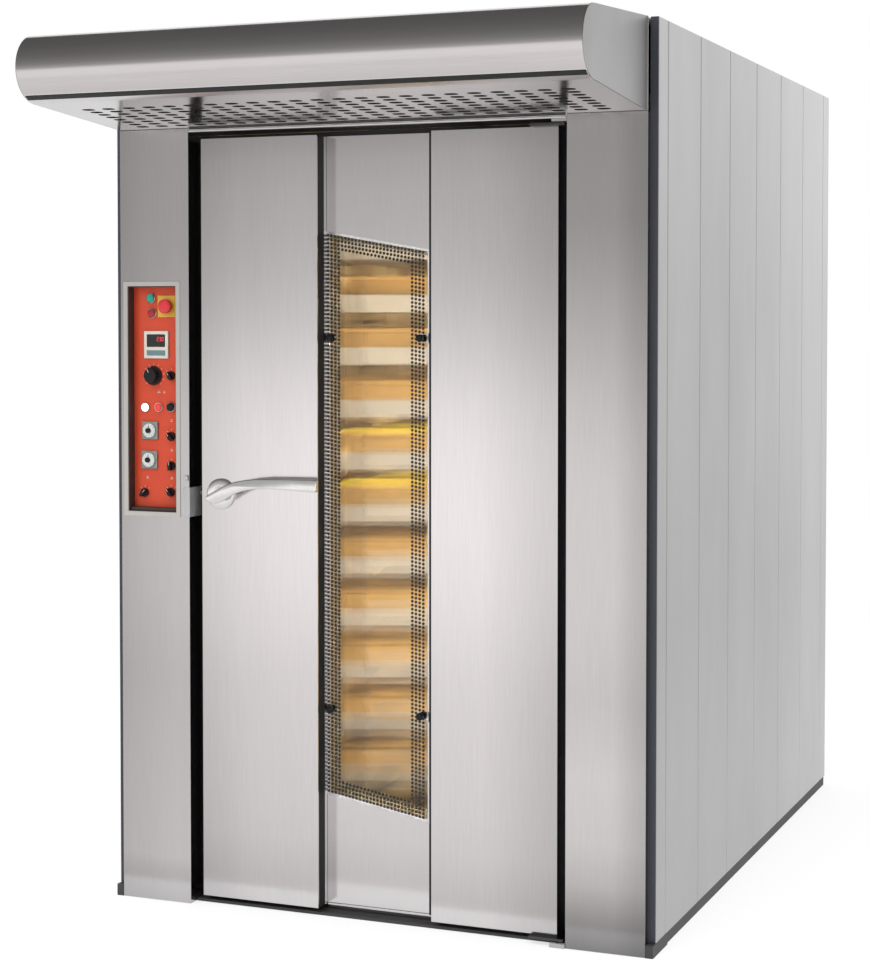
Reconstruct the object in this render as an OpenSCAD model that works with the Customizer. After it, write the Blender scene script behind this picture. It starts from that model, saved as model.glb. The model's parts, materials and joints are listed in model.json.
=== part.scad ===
// Rotating rack oven with a hinged insulated door, an extractor hood,
// a recessed control panel and a tray rack that hangs from a roof drive.
// Front faces -Y, up is +Z, the origin is on the floor at the centre of the outline.

/* [Body] */
// Overall width across the side panels
body_w = 1510; // [1500:10:1900]
// Depth from the face of the front posts to the rear panels
body_d = 2060; // [2040:20:2600]
// Height of the roof above the floor
body_h = 2300; // [2000:10:2800]
// Thickness of the outer panels
panel_t = 18; // [12:1:30]
// Width of one side panel
cassette_w = 310; // [200:10:400]
// Width of the first side panel, measured from the post's face
first_cassette_w = 110; // [80:5:200]
// Open seam between two outer panels
seam = 3; // [2:0.5:6]
// Chamfer beside a seam
seam_chamfer = 3; // [1:0.5:6]
// Thickness of folded sheet
sheet = 3; // [2:0.5:4]
// Thickness of the outer panels' skin
skin_t = 2; // [1:0.5:3]
// Height of the base rails
base_h = 32; // [25:1:60]
// Thickness of the floor plate
floor_t = 8; // [5:1:12]

/* [Front posts] */
// Gap between a post and the side panel beside it, behind the dark strip
post_side_gap = 2; // [1:1:20]
// How far the dark strip lies behind the posts' face
strip_set = 20; // [10:1:40]

/* [Door] */
// Width of the door
door_w = 1000; // [900:5:1040]
// Gap between the door and each post
door_gap = 28; // [24:1:40]
// Height of the door's lower edge above the floor
door_z = 22; // [20:1:30]
// Gap between the door's upper edge and the lintel
door_top_gap = 17; // [16:1:30]
// How far the door lies behind the posts' face
door_set = 20; // [10:1:30]
// Thickness of the door
door_t = 98; // [90:1:105]
// Width of the sunk centre panel
centre_w = 320; // [280:5:400]
// How far the centre panel lies behind the side panels
centre_step = 58; // [40:1:62]
// Width by which the closed door laps over the doorway on each side
seal_lap = 20; // [10:1:60]
// Thickness of the gasket behind the door
gasket_t = 10.4; // [6:0.2:20]
// Gap between the gasket and the closed door
seal_gap = 0.6; // [0.4:0.1:2]

/* [Window] */
// Gap between the glass and the left side of the sunk panel
glass_left_gap = 2; // [1:1:12]
// Gap between the glass and the right side of the sunk panel
glass_right_gap = 27; // [20:1:60]
// Height of the glass's lower left corner
glass_low = 314; // [200:1:500]
// Height of the glass's upper left corner below the roof
glass_drop = 503; // [400:1:700]
// Angle at which the upper and lower edges fall to the right
glass_slant = 10; // [0:1:20]
// Thickness of each pane
glass_t = 5; // [4:1:6]
// Width by which the outer glass laps over the opening
glass_lap = 6; // [5:1:7]
// Radius of the glass clamp knobs
clamp_r = 10; // [7:1:14]

/* [Door handle and latch] */
// Height of the handle's spindle above the floor
handle_z = 1103; // [900:1:1300]
// Distance of the spindle from the door's free edge
handle_inset = 58; // [50:1:90]
// Radius of the round cover behind the lever
rosette_r = 41; // [30:1:50]
// Reach of the lever from its spindle
lever_reach = 303; // [200:1:330]
// Gap between the lever and the door, for the fingers
lever_gap = 38; // [30:1:60]
// Reach of the latch bolt past the door's edge
bolt_out = 21; // [16:1:22]
// Travel of the latch bolt
bolt_travel = 18; // [12:1:20]

/* [Hood] */
// Reach of the hood past the posts' face
hood_reach = 500; // [350:10:650]
// Height of the hood against the wall
hood_back_h = 228; // [200:1:300]
// Radius of the rounded nose
nose_r = 85; // [50:1:100]
// Height of the nose's centre above the hood's rear lower edge
nose_rise = 116; // [90:1:140]
// How far each end of the hood lies inside the body's width
hood_inset = 22; // [0:1:60]
// Length of one grille slot
slot_l = 35; // [24:1:40]
// Width of one grille slot
slot_w = 24; // [6:1:24]
// Spacing of the slots along a row
slot_pitch = 58; // [45:1:80]
// Spacing of the rows
slot_row = 38.5; // [25:0.5:60]

/* [Control panel] */
// Width of the control opening
control_w = 146; // [140:1:170]
// Height of the control opening
control_h = 604; // [600:1:700]
// Height of the opening's centre above the floor
control_z = 1353; // [1100:1:1500]
// Distance of the bezel from the post's outer edge
control_margin = 9; // [4:1:30]
// Width of the bezel around the opening
bezel_rim = 13; // [6:1:16]
// Depth of the fascia behind the posts' face
control_depth = 27; // [20:1:40]

/* [Chamber] */
// Depth of the space behind the fan wall
plenum_d = 448; // [380:2:560]
// Thickness of the insulation
insulation_t = 60; // [40:1:80]
// Width of the air duct on each side
duct_w = 100; // [60:5:110]
// Radius of the circulation fan
fan_r = 230; // [150:5:260]
// Height of the circulation fan's axis above the floor
fan_z = 1690; // [1640:5:1740]

/* [Rack] */
// Length of a tray, the side that faces the door
tray_l = 800; // [600:10:800]
// Width of a tray
tray_w = 600; // [400:10:600]
// Height of a tray's rim
tray_h = 47; // [20:1:60]
// Height of the lowest tray above the floor
first_tray_z = 282; // [250:1:400]
// Spacing of the trays
tray_pitch = 145; // [120:1:250]
// Height of the tins above the tray's rim
tin_rise = 55; // [20:1:65]
// Angle to which the rack is turned in the chamber
rack_turn = 22; // [0:1:90]
// Radius of the castor wheels
castor_r = 50; // [40:1:60]
// Clearance of the hooked rack's wheels above the floor
rack_lift = 8; // [4:1:15]
// Radius of the drive shaft
drive_r = 20; // [15:1:30]

/* [Fits] */
// Radial clearance of a turning or sliding piece
run_gap = 0.4; // [0.3:0.1:1]
// Clearance between pieces that are set in beside each other
fit_gap = 1; // [0.5:0.5:3]

/* [Hidden] */
$fn = 48;

// Planes of the body
front_y = -(body_d - hood_reach) / 2;
rear_y = front_y + body_d;
half_w = body_w / 2;
strip_w = panel_t + post_side_gap;
post_out = half_w - strip_w;
post_in = door_w / 2 + door_gap;
post_d = door_set + door_t + seal_gap + gasket_t + fit_gap;
header_z = body_h - hood_back_h;
lintel_h = 11;
lintel_z = header_z - lintel_h;
jamb_y = front_y + post_d;
strip_y = front_y + strip_set;
strip_t = 4;

// Planes of the chamber
liner_t = 2;
motor_bay = 106;
plenum_y1 = rear_y - panel_t - motor_bay - insulation_t;
chamber_y0 = jamb_y + liner_t;
chamber_y1 = plenum_y1 - plenum_d;
axis_y = (chamber_y0 + chamber_y1) / 2;
liner_x = half_w - panel_t - insulation_t - 2 * fit_gap - liner_t;
ceiling_z = lintel_z;
floor_z = floor_t + fit_gap + liner_t;
slab_z = ceiling_z + liner_t + fit_gap;
slab_top = slab_z + insulation_t;
roof_z = body_h - panel_t;

// Planes of the door
door_y = front_y + door_set;
centre_y = door_y + centre_step;
door_back = door_y + door_t;
door_top = lintel_z - door_top_gap;
door_left = -door_w / 2;
doorway_w = door_w - 2 * seal_lap;
core_y = centre_y + sheet;
inner_skin_t = 3;
skin_y = door_back - inner_skin_t;
hinge_x = door_w / 2 + door_gap / 2;
hinge_y = door_y - 10;
hinge_pin_r = 8;
hinge_arm_t = 8;
handle_x = door_left + handle_inset;

// Window
glass_w = centre_w - glass_left_gap - glass_right_gap;
glass_x0 = -centre_w / 2 + glass_left_gap;
glass_x1 = glass_x0 + glass_w;
glass_top = body_h - glass_drop;
glass_stand = 2;
sleeve_t = 1.5;
glass_y = centre_y - glass_stand - glass_t;
clamp_inset_left = 13;
clamp_inset_right = 22;
clamp_low_rise = 226;
clamp_high_drop = 279;

// Hood
hood_w = body_w - 2 * hood_inset;
nose_y = front_y - hood_reach + nose_r;
nose_z = header_z + nose_rise;
plate_t = 2;

// Control panel
control_x = -post_out + control_margin + bezel_rim + control_w / 2;
fascia_y = front_y + control_depth;
fascia_t = 3;
row_x_left = control_x - 16;
row_x_right = control_x + 44;
module_gap = 12;
button_r = 11;
button_travel = 4;
button_proud = 10;
stem_r = 5;

// Rack
rack_levels = floor((ceiling_z - 180 - first_tray_z) / tray_pitch);
tube = 30;
tube_wall = 2;
tin_wall = 1.5;
tray_wall = 1.5;
rack_l = tray_l + 2 * tube + 4;
rack_w = tray_w;
rack_base_z = floor_z + rack_lift + 2 * castor_r + 32;
rack_top_z = first_tray_z + rack_levels * tray_pitch - tube / 2;
castor_x = rack_l / 2 - 60;
castor_y = rack_w / 2 - 60;
castor_trail = 28;
axle_r = 6;
wheel_t = 28;
hanger_r = 10;
hanger_z = rack_top_z + tube + 24;
runner = 20;

// Fan, flue, extractor
fan_y = chamber_y1 + 18;
fan_depth = 80;
flue_x = 300;
flue_y = plenum_y1 - 172;
flue_r = 75;
flue_rise = 90;
damper_z = ceiling_z - 160;
extractor_y = front_y + 220;
extractor_r = 150;
extractor_z = slab_top + 6;
extractor_h = roof_z - extractor_z - 4;
collar_r = 90;
collar_rise = 52;
exchanger_z0 = 120;
exchanger_z1 = fan_z - fan_r - 60;
exchanger_wall = 3;

function tangent_point(p, c, r, side) =
    let (v = c - p, a = atan2(v[1], v[0]) + side * asin(r / norm(v)), l = sqrt(v * v - r * r))
    p + l * [cos(a), sin(a)];

// A block between two opposite corners
module block(lo, hi) {
    translate(lo) cube(hi - lo);
}

// The children and their mirror image on the other side of the centre plane
module both_sides() {
    children();
    mirror([1, 0, 0]) children();
}

// A rod along +Y
module rod_y(at, r, l) {
    translate(at) rotate([-90, 0, 0]) cylinder(r = r, h = l);
}

// A rod along +X
module rod_x(at, r, l) {
    translate(at) rotate([0, 90, 0]) cylinder(r = r, h = l);
}

// A flat outline in X and Z, given thickness along +Y
module plate_xz(y0, t) {
    translate([0, y0 + t, 0]) rotate([90, 0, 0]) linear_extrude(height = t) children();
}

// A flat outline in Y and Z, given thickness along +X
module plate_yz(x0, t) {
    translate([x0, 0, 0]) rotate([90, 0, 90]) linear_extrude(height = t) children();
}

// One outer panel, folded from sheet: outer face at y = 0, chamfered beside its seams
module cassette(w, h) {
    c = seam_chamfer;
    difference() {
        linear_extrude(height = h)
            polygon([[0, panel_t], [0, c], [c, 0], [w - c, 0], [w, c], [w, panel_t]]);
        block([c, skin_t, skin_t], [w - c, panel_t + 1, h - skin_t]);
    }
}

// Places a piece of the rack, turned about the drive axis
module on_rack() {
    translate([0, axis_y, 0]) rotate([0, 0, rack_turn]) children();
}

// Outline of the window, drawn in by a margin
module window_outline(m) {
    fall = tan(glass_slant);
    lift = m / cos(glass_slant);
    polygon([
        [glass_x0 + m, glass_low + lift - m * fall],
        [glass_x1 - m, glass_low + lift - (glass_w - m) * fall],
        [glass_x1 - m, glass_top - lift - (glass_w - m) * fall],
        [glass_x0 + m, glass_top - lift - m * fall]]);
}

// ---- Body ----

module base_frame() {
    rail = 40;
    color("dimgray") {
        both_sides() block([half_w - rail, jamb_y, 0], [half_w - 4, rear_y, base_h - 1]);
        both_sides() block([post_out, front_y, 0], [half_w, jamb_y, base_h - 1]);
        block([-half_w + rail, rear_y - rail, 0], [half_w - rail, rear_y, base_h - 1]);
        block([-half_w + rail, jamb_y, 0], [half_w - rail, rear_y - rail, floor_t]);
        block([-post_in + fit_gap, door_y + 15, 0], [post_in - fit_gap, jamb_y, floor_t]);
    }
}

module post_shell() {
    difference() {
        block([post_in, front_y, 0], [post_out, jamb_y - fit_gap, header_z]);
        block([post_in + sheet, front_y + sheet, -1],
            [post_out - sheet, jamb_y, header_z + 1]);
    }
}

module left_post() {
    color("silver") difference() {
        mirror([1, 0, 0]) post_shell();
        block([control_x - control_w / 2 - sheet, front_y - 1, control_z - control_h / 2 - sheet],
            [control_x + control_w / 2 + sheet, front_y + sheet + 1,
                control_z + control_h / 2 + sheet]);
    }
}

module right_post() {
    color("silver") post_shell();
}

// Corner strips, and the gasket frame that the door closes against
module dark_trims() {
    gasket_y = door_back + seal_gap;
    color("black") {
        both_sides() block([post_out, strip_y, base_h], [half_w, strip_y + strip_t, body_h]);
        difference() {
            block([-post_in + fit_gap, gasket_y, floor_t + fit_gap],
                [post_in - fit_gap, jamb_y - fit_gap, lintel_z - fit_gap]);
            block([-doorway_w / 2, gasket_y - 1, -1],
                [doorway_w / 2, jamb_y, door_top - 20]);
        }
    }
}

module header_panel() {
    hole_w = 200;
    color("silver") difference() {
        union() {
            block([-post_out, front_y, header_z], [post_out, front_y + sheet, body_h]);
            block([-post_in, front_y, lintel_z], [post_in, front_y + sheet, header_z]);
            block([-post_in, front_y, lintel_z], [post_in, jamb_y - fit_gap, lintel_z + sheet]);
        }
        block([-hole_w / 2, front_y - 1, extractor_z + 20],
            [hole_w / 2, front_y + sheet + 1, extractor_z + extractor_h - 20]);
    }
}

module side_panels() {
    y0 = strip_y + strip_t;
    first = front_y + first_cassette_w;
    count = floor((rear_y - first - 40) / cassette_w);
    edges = concat([y0], [for (i = [0:count]) first + i * cassette_w], [rear_y]);
    color("gainsboro") both_sides() for (i = [0:count + 1])
        translate([half_w, edges[i], base_h]) rotate([0, 0, 90])
            cassette(edges[i + 1] - edges[i] - (i <= count ? seam : 0), body_h - base_h);
}

// Rear panels between the side panels, with a hole for the water supply
module rear_panels() {
    count = 5;
    span = 2 * (half_w - panel_t - fit_gap);
    w = span / count;
    color("gainsboro") difference() {
        for (i = [0:count - 1])
            translate([span / 2 - i * w, rear_y, base_h]) rotate([0, 0, 180])
                cassette(w - seam, roof_z - base_h - fit_gap);
        rod_y([water_x, rear_y - panel_t - 1, water_z], water_r + run_gap, panel_t + 2);
    }
}

// Roof panels that run from front to rear, with holes for the flue and the extractor
module roof_panels() {
    count = 5;
    span = 2 * (post_out - fit_gap);
    w = span / count;
    y0 = front_y + sheet + fit_gap;
    color("gainsboro") difference() {
        for (i = [0:count - 1])
            translate([-span / 2 + i * w, y0, body_h]) rotate([-90, 0, 0])
                cassette(w - seam, rear_y - y0);
        translate([flue_x, flue_y, roof_z - 1]) cylinder(r = flue_r + 3, h = panel_t + 2);
        translate([0, extractor_y, roof_z - 1]) cylinder(r = collar_r + 3, h = panel_t + 2);
    }
}

module insulation_slabs() {
    y0 = jamb_y + fit_gap;
    y1 = plenum_y1 + liner_t + fit_gap;
    x0 = liner_x + liner_t + fit_gap;
    hole = drive_r + 30;
    color("khaki") {
        both_sides() block([x0, y0, base_h],
            [x0 + insulation_t, y1 + insulation_t, slab_top]);
        difference() {
            block([-x0 + fit_gap, y1, floor_t + fit_gap],
                [x0 - fit_gap, y1 + insulation_t - fit_gap, slab_z - fit_gap]);
            rod_y([0, y1 - 1, fan_z], 30, insulation_t + 2);
            rod_y([burner_x, y1 - 1, burner_z], burner_r + 6, insulation_t + 2);
            rod_y([water_x, y1 - 1, water_z], water_r + 2, insulation_t + 2);
        }
        difference() {
            block([-x0 + fit_gap, y0, slab_z], [x0 - fit_gap, y1 + insulation_t - fit_gap, slab_top]);
            translate([0, axis_y, slab_z - 1]) cylinder(r = hole, h = insulation_t + 2);
            translate([flue_x, flue_y, slab_z - 1]) cylinder(r = flue_r + 6, h = insulation_t + 2);
        }
    }
}

// Stainless lining: floor, ceiling, side walls, rear wall, fan wall and door frame
module chamber_lining() {
    g = fit_gap;
    x1 = liner_x;
    top = ceiling_z - g;
    low = floor_z + g;
    half_door = doorway_w / 2;
    color("lightgray") {
        both_sides() block([x1, jamb_y, low], [x1 + liner_t, plenum_y1, top]);
        block([-x1 - liner_t, jamb_y, floor_z - liner_t], [x1 + liner_t, plenum_y1, floor_z]);
        difference() {
            block([-x1 - liner_t, jamb_y, ceiling_z],
                [x1 + liner_t, plenum_y1 + liner_t, ceiling_z + liner_t]);
            translate([0, axis_y, ceiling_z - 1]) cylinder(r = drive_r + 4, h = liner_t + 2);
            translate([flue_x, flue_y, ceiling_z - 1]) cylinder(r = flue_r + 3, h = liner_t + 2);
        }
        difference() {
            block([-x1 + g, chamber_y1, low], [x1 - g, chamber_y1 + liner_t, top]);
            rod_y([0, chamber_y1 - 1, fan_z], fan_r - 40, liner_t + 2);
            both_sides() block([x1 - duct_w + 10, chamber_y1 - 1, 150],
                [x1 - 10, chamber_y1 + liner_t + 1, fan_z + fan_r]);
        }
        difference() {
            block([-x1 - liner_t, plenum_y1 + g, floor_z], [x1 + liner_t, plenum_y1 + liner_t, top]);
            rod_y([0, plenum_y1, fan_z], 16, liner_t + 2);
            rod_y([burner_x, plenum_y1, burner_z], burner_r + 3, liner_t + 2);
            rod_y([water_x, plenum_y1, water_z], water_r + 2, liner_t + 2);
        }
        both_sides() block([half_door, jamb_y, low], [x1 - g, chamber_y0, top]);
        block([-half_door + g, jamb_y, door_top - 20], [half_door - g, chamber_y0, top]);
    }
}

// Louvred duct walls on both sides of the chamber
module air_ducts() {
    x0 = liner_x - duct_w;
    y0 = chamber_y0 + 110;
    y1 = chamber_y1 - fit_gap;
    z0 = floor_z + 10;
    z1 = ceiling_z - 10;
    slit = 12;
    slit_l = 210;
    rows = floor((z1 - z0 - 200) / tray_pitch);
    color("lightgray") both_sides() difference() {
        block([x0, y0, z0], [liner_x - fit_gap, y1, z1]);
        block([x0 + liner_t, y0 + liner_t, z0 + liner_t],
            [liner_x, y1 + 1, z1 - liner_t]);
        for (row = [0:rows], column = [0:3])
            translate([x0 - 1, y0 + 90 + column * 270, z0 + 80 + row * tray_pitch])
                cube([liner_t + 2, slit_l, slit]);
    }
}

// Outline of the tube bank, or of the space inside it when drawn in by the wall
module exchanger_form(wall) {
    y0 = plenum_y1 - 290;
    y1 = plenum_y1 - 50;
    low_h = 140;
    high_h = 100;
    x = 440 - wall;
    block([-x, y0 + wall, exchanger_z0 + wall], [x, y1 - wall, exchanger_z0 + low_h - wall]);
    block([-x, y0 + wall, exchanger_z1 - high_h + wall], [x, y1 - wall, exchanger_z1 - wall]);
    for (i = [0:8], j = [0:1])
        translate([-360 + i * 90, y0 + 65 + j * 110, exchanger_z0 + low_h - 10])
            cylinder(r = 28 - wall, h = exchanger_z1 - exchanger_z0 - low_h - high_h + 20);
}

// Tube bank between two boxes, open to the burner and to the flue
module heat_exchanger() {
    color("slategray") difference() {
        exchanger_form(0);
        exchanger_form(exchanger_wall);
        rod_y([burner_x, plenum_y1 - 60, burner_z], burner_r - 3, 30);
        translate([flue_x, flue_y, exchanger_z1 - 10]) cylinder(r = flue_r - 3, h = 20);
    }
}

burner_x = -250;
burner_z = exchanger_z0 + 70;
burner_r = 55;
module burner() {
    bay_y = plenum_y1 + insulation_t + liner_t + 2 * fit_gap;
    color("firebrick") {
        rod_y([burner_x, plenum_y1 - 50, burner_z], burner_r, bay_y - plenum_y1 + 51);
        block([burner_x - 110, bay_y, burner_z - 80], [burner_x + 110, bay_y + 90, burner_z + 120]);
    }
}

shaft_r = 12;
module fan_motor() {
    bay_y = plenum_y1 + insulation_t + liner_t + 2 * fit_gap;
    color("steelblue") difference() {
        union() {
            rod_y([0, bay_y, fan_z], 90, 6);
            rod_y([0, bay_y + 5, fan_z], 68, 85);
            block([50, bay_y + 20, fan_z - 30], [95, bay_y + 75, fan_z + 30]);
        }
        rod_y([0, bay_y - 1, fan_z], shaft_r + run_gap, 60);
    }
}

// Wheel with its axis along +Z: back plate, blades, front ring and shaft
module blower_wheel(r, depth, blades, eye) {
    difference() {
        union() {
            cylinder(r = r, h = 3);
            for (i = [0:blades - 1])
                rotate([0, 0, i * 360 / blades]) translate([eye, 0, 2])
                    rotate([0, 0, 35]) cube([(r - eye) * 1.02, 3, depth - 4]);
        }
        difference() {
            translate([0, 0, -1]) cylinder(r = 2 * r, h = depth + 2);
            translate([0, 0, -2]) cylinder(r = r, h = depth + 4);
        }
    }
    translate([0, 0, depth - 3]) difference() {
        cylinder(r = r, h = 3);
        translate([0, 0, -1]) cylinder(r = eye + 8, h = 5);
    }
}

module fan_wheel() {
    shaft_l = plenum_y1 + insulation_t + liner_t + 2 * fit_gap + 50 - fan_y - fan_depth;
    color("gray") translate([0, fan_y + fan_depth, fan_z]) rotate([90, 0, 0]) {
        blower_wheel(fan_r, fan_depth, 12, 130);
        translate([0, 0, -shaft_l]) cylinder(r = shaft_r, h = shaft_l + 1);
        cylinder(r = 34, h = 34);
    }
}

water_x = -liner_x + 70;
water_z = fan_z - 150;
water_r = 9;
// Stack of troughs that turns water into steam, with its supply pipe
module steam_cascade() {
    x0 = -liner_x + 15;
    y0 = chamber_y1 + 60;
    steps = 9;
    step_h = 110;
    z0 = 300;
    color("darkgray") {
        block([x0, y0, z0], [x0 + 3, y0 + 160, z0 + steps * step_h]);
        for (i = [0:steps - 1]) difference() {
            block([x0 + 2, y0, z0 + i * step_h], [x0 + 112, y0 + 160, z0 + i * step_h + 40]);
            block([x0 + 8, y0 + 6, z0 + i * step_h + 6], [x0 + 106, y0 + 154, z0 + i * step_h + 41]);
        }
        rod_y([water_x, y0 + 80, water_z], water_r, rear_y - y0 - 80);
        translate([water_x, y0 + 80, z0 + steps * step_h + 20])
            cylinder(r = water_r, h = water_z - z0 - steps * step_h - 20);
        translate([water_x, y0 + 80, water_z]) sphere(r = water_r);
    }
}

module flue_pipe() {
    z0 = exchanger_z1;
    h = body_h + flue_rise - z0;
    color("lightgray") difference() {
        union() {
            translate([flue_x, flue_y, z0]) cylinder(r = flue_r, h = h);
            translate([flue_x, flue_y, body_h + 1]) cylinder(r = flue_r + 25, h = 3);
        }
        translate([flue_x, flue_y, z0 - 1]) cylinder(r = flue_r - 3, h = h + 2);
        rod_x([flue_x - flue_r - 5, flue_y, damper_z], stem_r + run_gap, 2 * flue_r + 10);
    }
}

module flue_damper() {
    color("gray") {
        translate([flue_x, flue_y, damper_z - 1.5]) cylinder(r = flue_r - 5, h = 3);
        rod_x([flue_x - flue_r - 8, flue_y, damper_z], stem_r, 2 * flue_r + 40);
        block([flue_x + flue_r + 24, flue_y - 8, damper_z - 8],
            [flue_x + flue_r + 30, flue_y + 90, damper_z + 8]);
    }
}

// Gearbox, motor and the bearing tube that carries the rack
module rack_gearmotor() {
    gear_h = 120;
    z0 = slab_top + 2;
    color("steelblue") difference() {
        union() {
            translate([0, axis_y, ceiling_z + liner_t + fit_gap])
                cylinder(r = drive_r + 22, h = insulation_t + 4);
            block([-80, axis_y - 75, z0], [80, axis_y + 75, z0 + gear_h]);
            rod_y([0, axis_y + 70, z0 + 66], 56, 210);
            block([50, axis_y + 110, z0 + 40], [90, axis_y + 190, z0 + 96]);
        }
        translate([0, axis_y, ceiling_z]) cylinder(r = drive_r + run_gap, h = z0 + gear_h - ceiling_z + 5);
    }
}

// ---- Hood ----

module hood_profile(r, inset) {
    c = [nose_y, nose_z];
    top = [front_y, body_h - inset];
    low = [front_y, header_z + inset];
    translate(c) circle(r = r, $fn = 96);
    polygon([top, tangent_point(top, c, r, -1), c, tangent_point(low, c, r, 1), low]);
}

grille_angle = 180 - atan2(nose_z - header_z, nose_y - front_y)
    - asin(nose_r / norm([nose_z - header_z, nose_y - front_y]));
grille_l = sqrt(pow(nose_z - header_z, 2) + pow(nose_y - front_y, 2) - nose_r * nose_r);

// Top sheet and rounded nose, open below and behind
module hood_shell() {
    low = [front_y, header_z];
    seam_point = tangent_point(low, [nose_y, nose_z], nose_r, 1);
    color("silver") plate_yz(-hood_w / 2 + plate_t, hood_w - 2 * plate_t) difference() {
        hood_profile(nose_r, 0);
        hood_profile(nose_r - plate_t, plate_t);
        polygon([seam_point, [nose_y, nose_z], [front_y + 1, nose_z],
            [front_y + 1, header_z - 10], [seam_point[0], seam_point[1] - 10]]);
    }
}

module hood_end_plates() {
    color("silver") both_sides() plate_yz(hood_w / 2 - plate_t, plate_t) hood_profile(nose_r, 0);
}

// Slotted plate that closes the hood from below
module hood_grille() {
    edge = 60;
    w = hood_w - 2 * plate_t - 1;
    columns = floor((w / 2 - edge) / slot_pitch);
    rows = floor((grille_l - 110) / slot_row);
    color("silver") translate([0, front_y, header_z]) rotate([-grille_angle, 0, 0]) difference() {
        block([-w / 2, -grille_l + 1, 0], [w / 2, -fit_gap, plate_t]);
        for (i = [-columns:columns], j = [0:rows - 1])
            translate([i * slot_pitch, -46 - j * slot_row, -1]) {
                block([-(slot_l - slot_w) / 2, -slot_w / 2, 0],
                    [(slot_l - slot_w) / 2, slot_w / 2, plate_t + 2]);
                for (s = [-1, 1])
                    translate([s * (slot_l - slot_w) / 2, 0, 0])
                        cylinder(r = slot_w / 2, h = plate_t + 2, $fn = 16);
            }
    }
}

// Drum that houses the extractor wheel, with its inlet and the collar on the roof
module extractor_housing() {
    z1 = extractor_z + extractor_h;
    color("lightgray") difference() {
        union() {
            translate([0, extractor_y, extractor_z]) cylinder(r = extractor_r, h = extractor_h);
            block([-110, front_y + sheet, extractor_z + 10], [110, extractor_y - 90, z1 - 10]);
            translate([0, extractor_y, z1 - 1])
                cylinder(r = collar_r, h = body_h + collar_rise + 1 - z1);
            translate([0, extractor_y, body_h + 1]) cylinder(r = collar_r + 25, h = 3);
            translate([0, extractor_y + 60, extractor_z]) block([-60, 0, 0], [60, 150, 60]);
        }
        translate([0, extractor_y, extractor_z + 3]) cylinder(r = extractor_r - 3, h = extractor_h - 6);
        block([-107, front_y, extractor_z + 13], [107, extractor_y - 88, z1 - 13]);
        translate([0, extractor_y, z1 - 10]) cylinder(r = collar_r - 3, h = 200 + collar_rise);
        translate([0, extractor_y, extractor_z - 1]) cylinder(r = stem_r + run_gap, h = 6);
    }
}

module extractor_wheel() {
    color("gray") translate([0, extractor_y, extractor_z + 12]) {
        blower_wheel(extractor_r - 20, extractor_h - 30, 12, 70);
        translate([0, 0, -11]) cylinder(r = stem_r, h = 12);
        cylinder(r = 22, h = 20);
    }
}

// ---- Control panel ----

// Frame around the opening and the walls of the recess
module control_bezel() {
    color("lightgray") difference() {
        union() {
            block([control_x - control_w / 2 - bezel_rim, front_y - 2,
                    control_z - control_h / 2 - bezel_rim],
                [control_x + control_w / 2 + bezel_rim, front_y, control_z + control_h / 2 + bezel_rim]);
            block([control_x - control_w / 2 - 2, front_y - 1, control_z - control_h / 2 - 2],
                [control_x + control_w / 2 + 2, fascia_y, control_z + control_h / 2 + 2]);
        }
        block([control_x - control_w / 2, front_y - 3, control_z - control_h / 2],
            [control_x + control_w / 2, fascia_y + 1, control_z + control_h / 2]);
    }
}

// Places of the controls, as [x, z] from the centre of the opening
green_at = [control_x - 16, control_z + 270];
red_at = [control_x - 12, control_z + 230];
stop_at = [control_x + 33, control_z + 248];
meter_at = [control_x, control_z + 145];
dial_at = [control_x - 10, control_z + 62];
white_at = [control_x - 35, control_z - 24];
red_lamp_at = [control_x + 6, control_z - 23];
black_at = [control_x + 44, control_z - 22];
timer_up_at = [control_x - 20, control_z - 86];
timer_low_at = [control_x - 22, control_z - 165];
sel_dial_at = [control_x + 44, control_z + 62];
sel_up_at = [control_x + 44, control_z - 101];
sel_low_at = [control_x + 44, control_z - 180];
sel_left_at = [control_x - 38, control_z - 254];
sel_right_at = [control_x + 42, control_z - 251];
button_spots = [green_at, red_at, black_at];
dial_spots = [dial_at, sel_dial_at, sel_up_at, sel_low_at, sel_left_at, sel_right_at];
timer_spots = [timer_up_at, timer_low_at];
timer_w = 48;
timer_proud = 6;

module control_fascia() {
    color("orangered") difference() {
        block([control_x - control_w / 2 - 2, fascia_y, control_z - control_h / 2 - 2],
            [control_x + control_w / 2 + 2, fascia_y + fascia_t, control_z + control_h / 2 + 2]);
        for (p = concat(button_spots, dial_spots, timer_spots, [stop_at]))
            rod_y([p[0], fascia_y - 1, p[1]], stem_r + run_gap, fascia_t + 2);
    }
}

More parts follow.
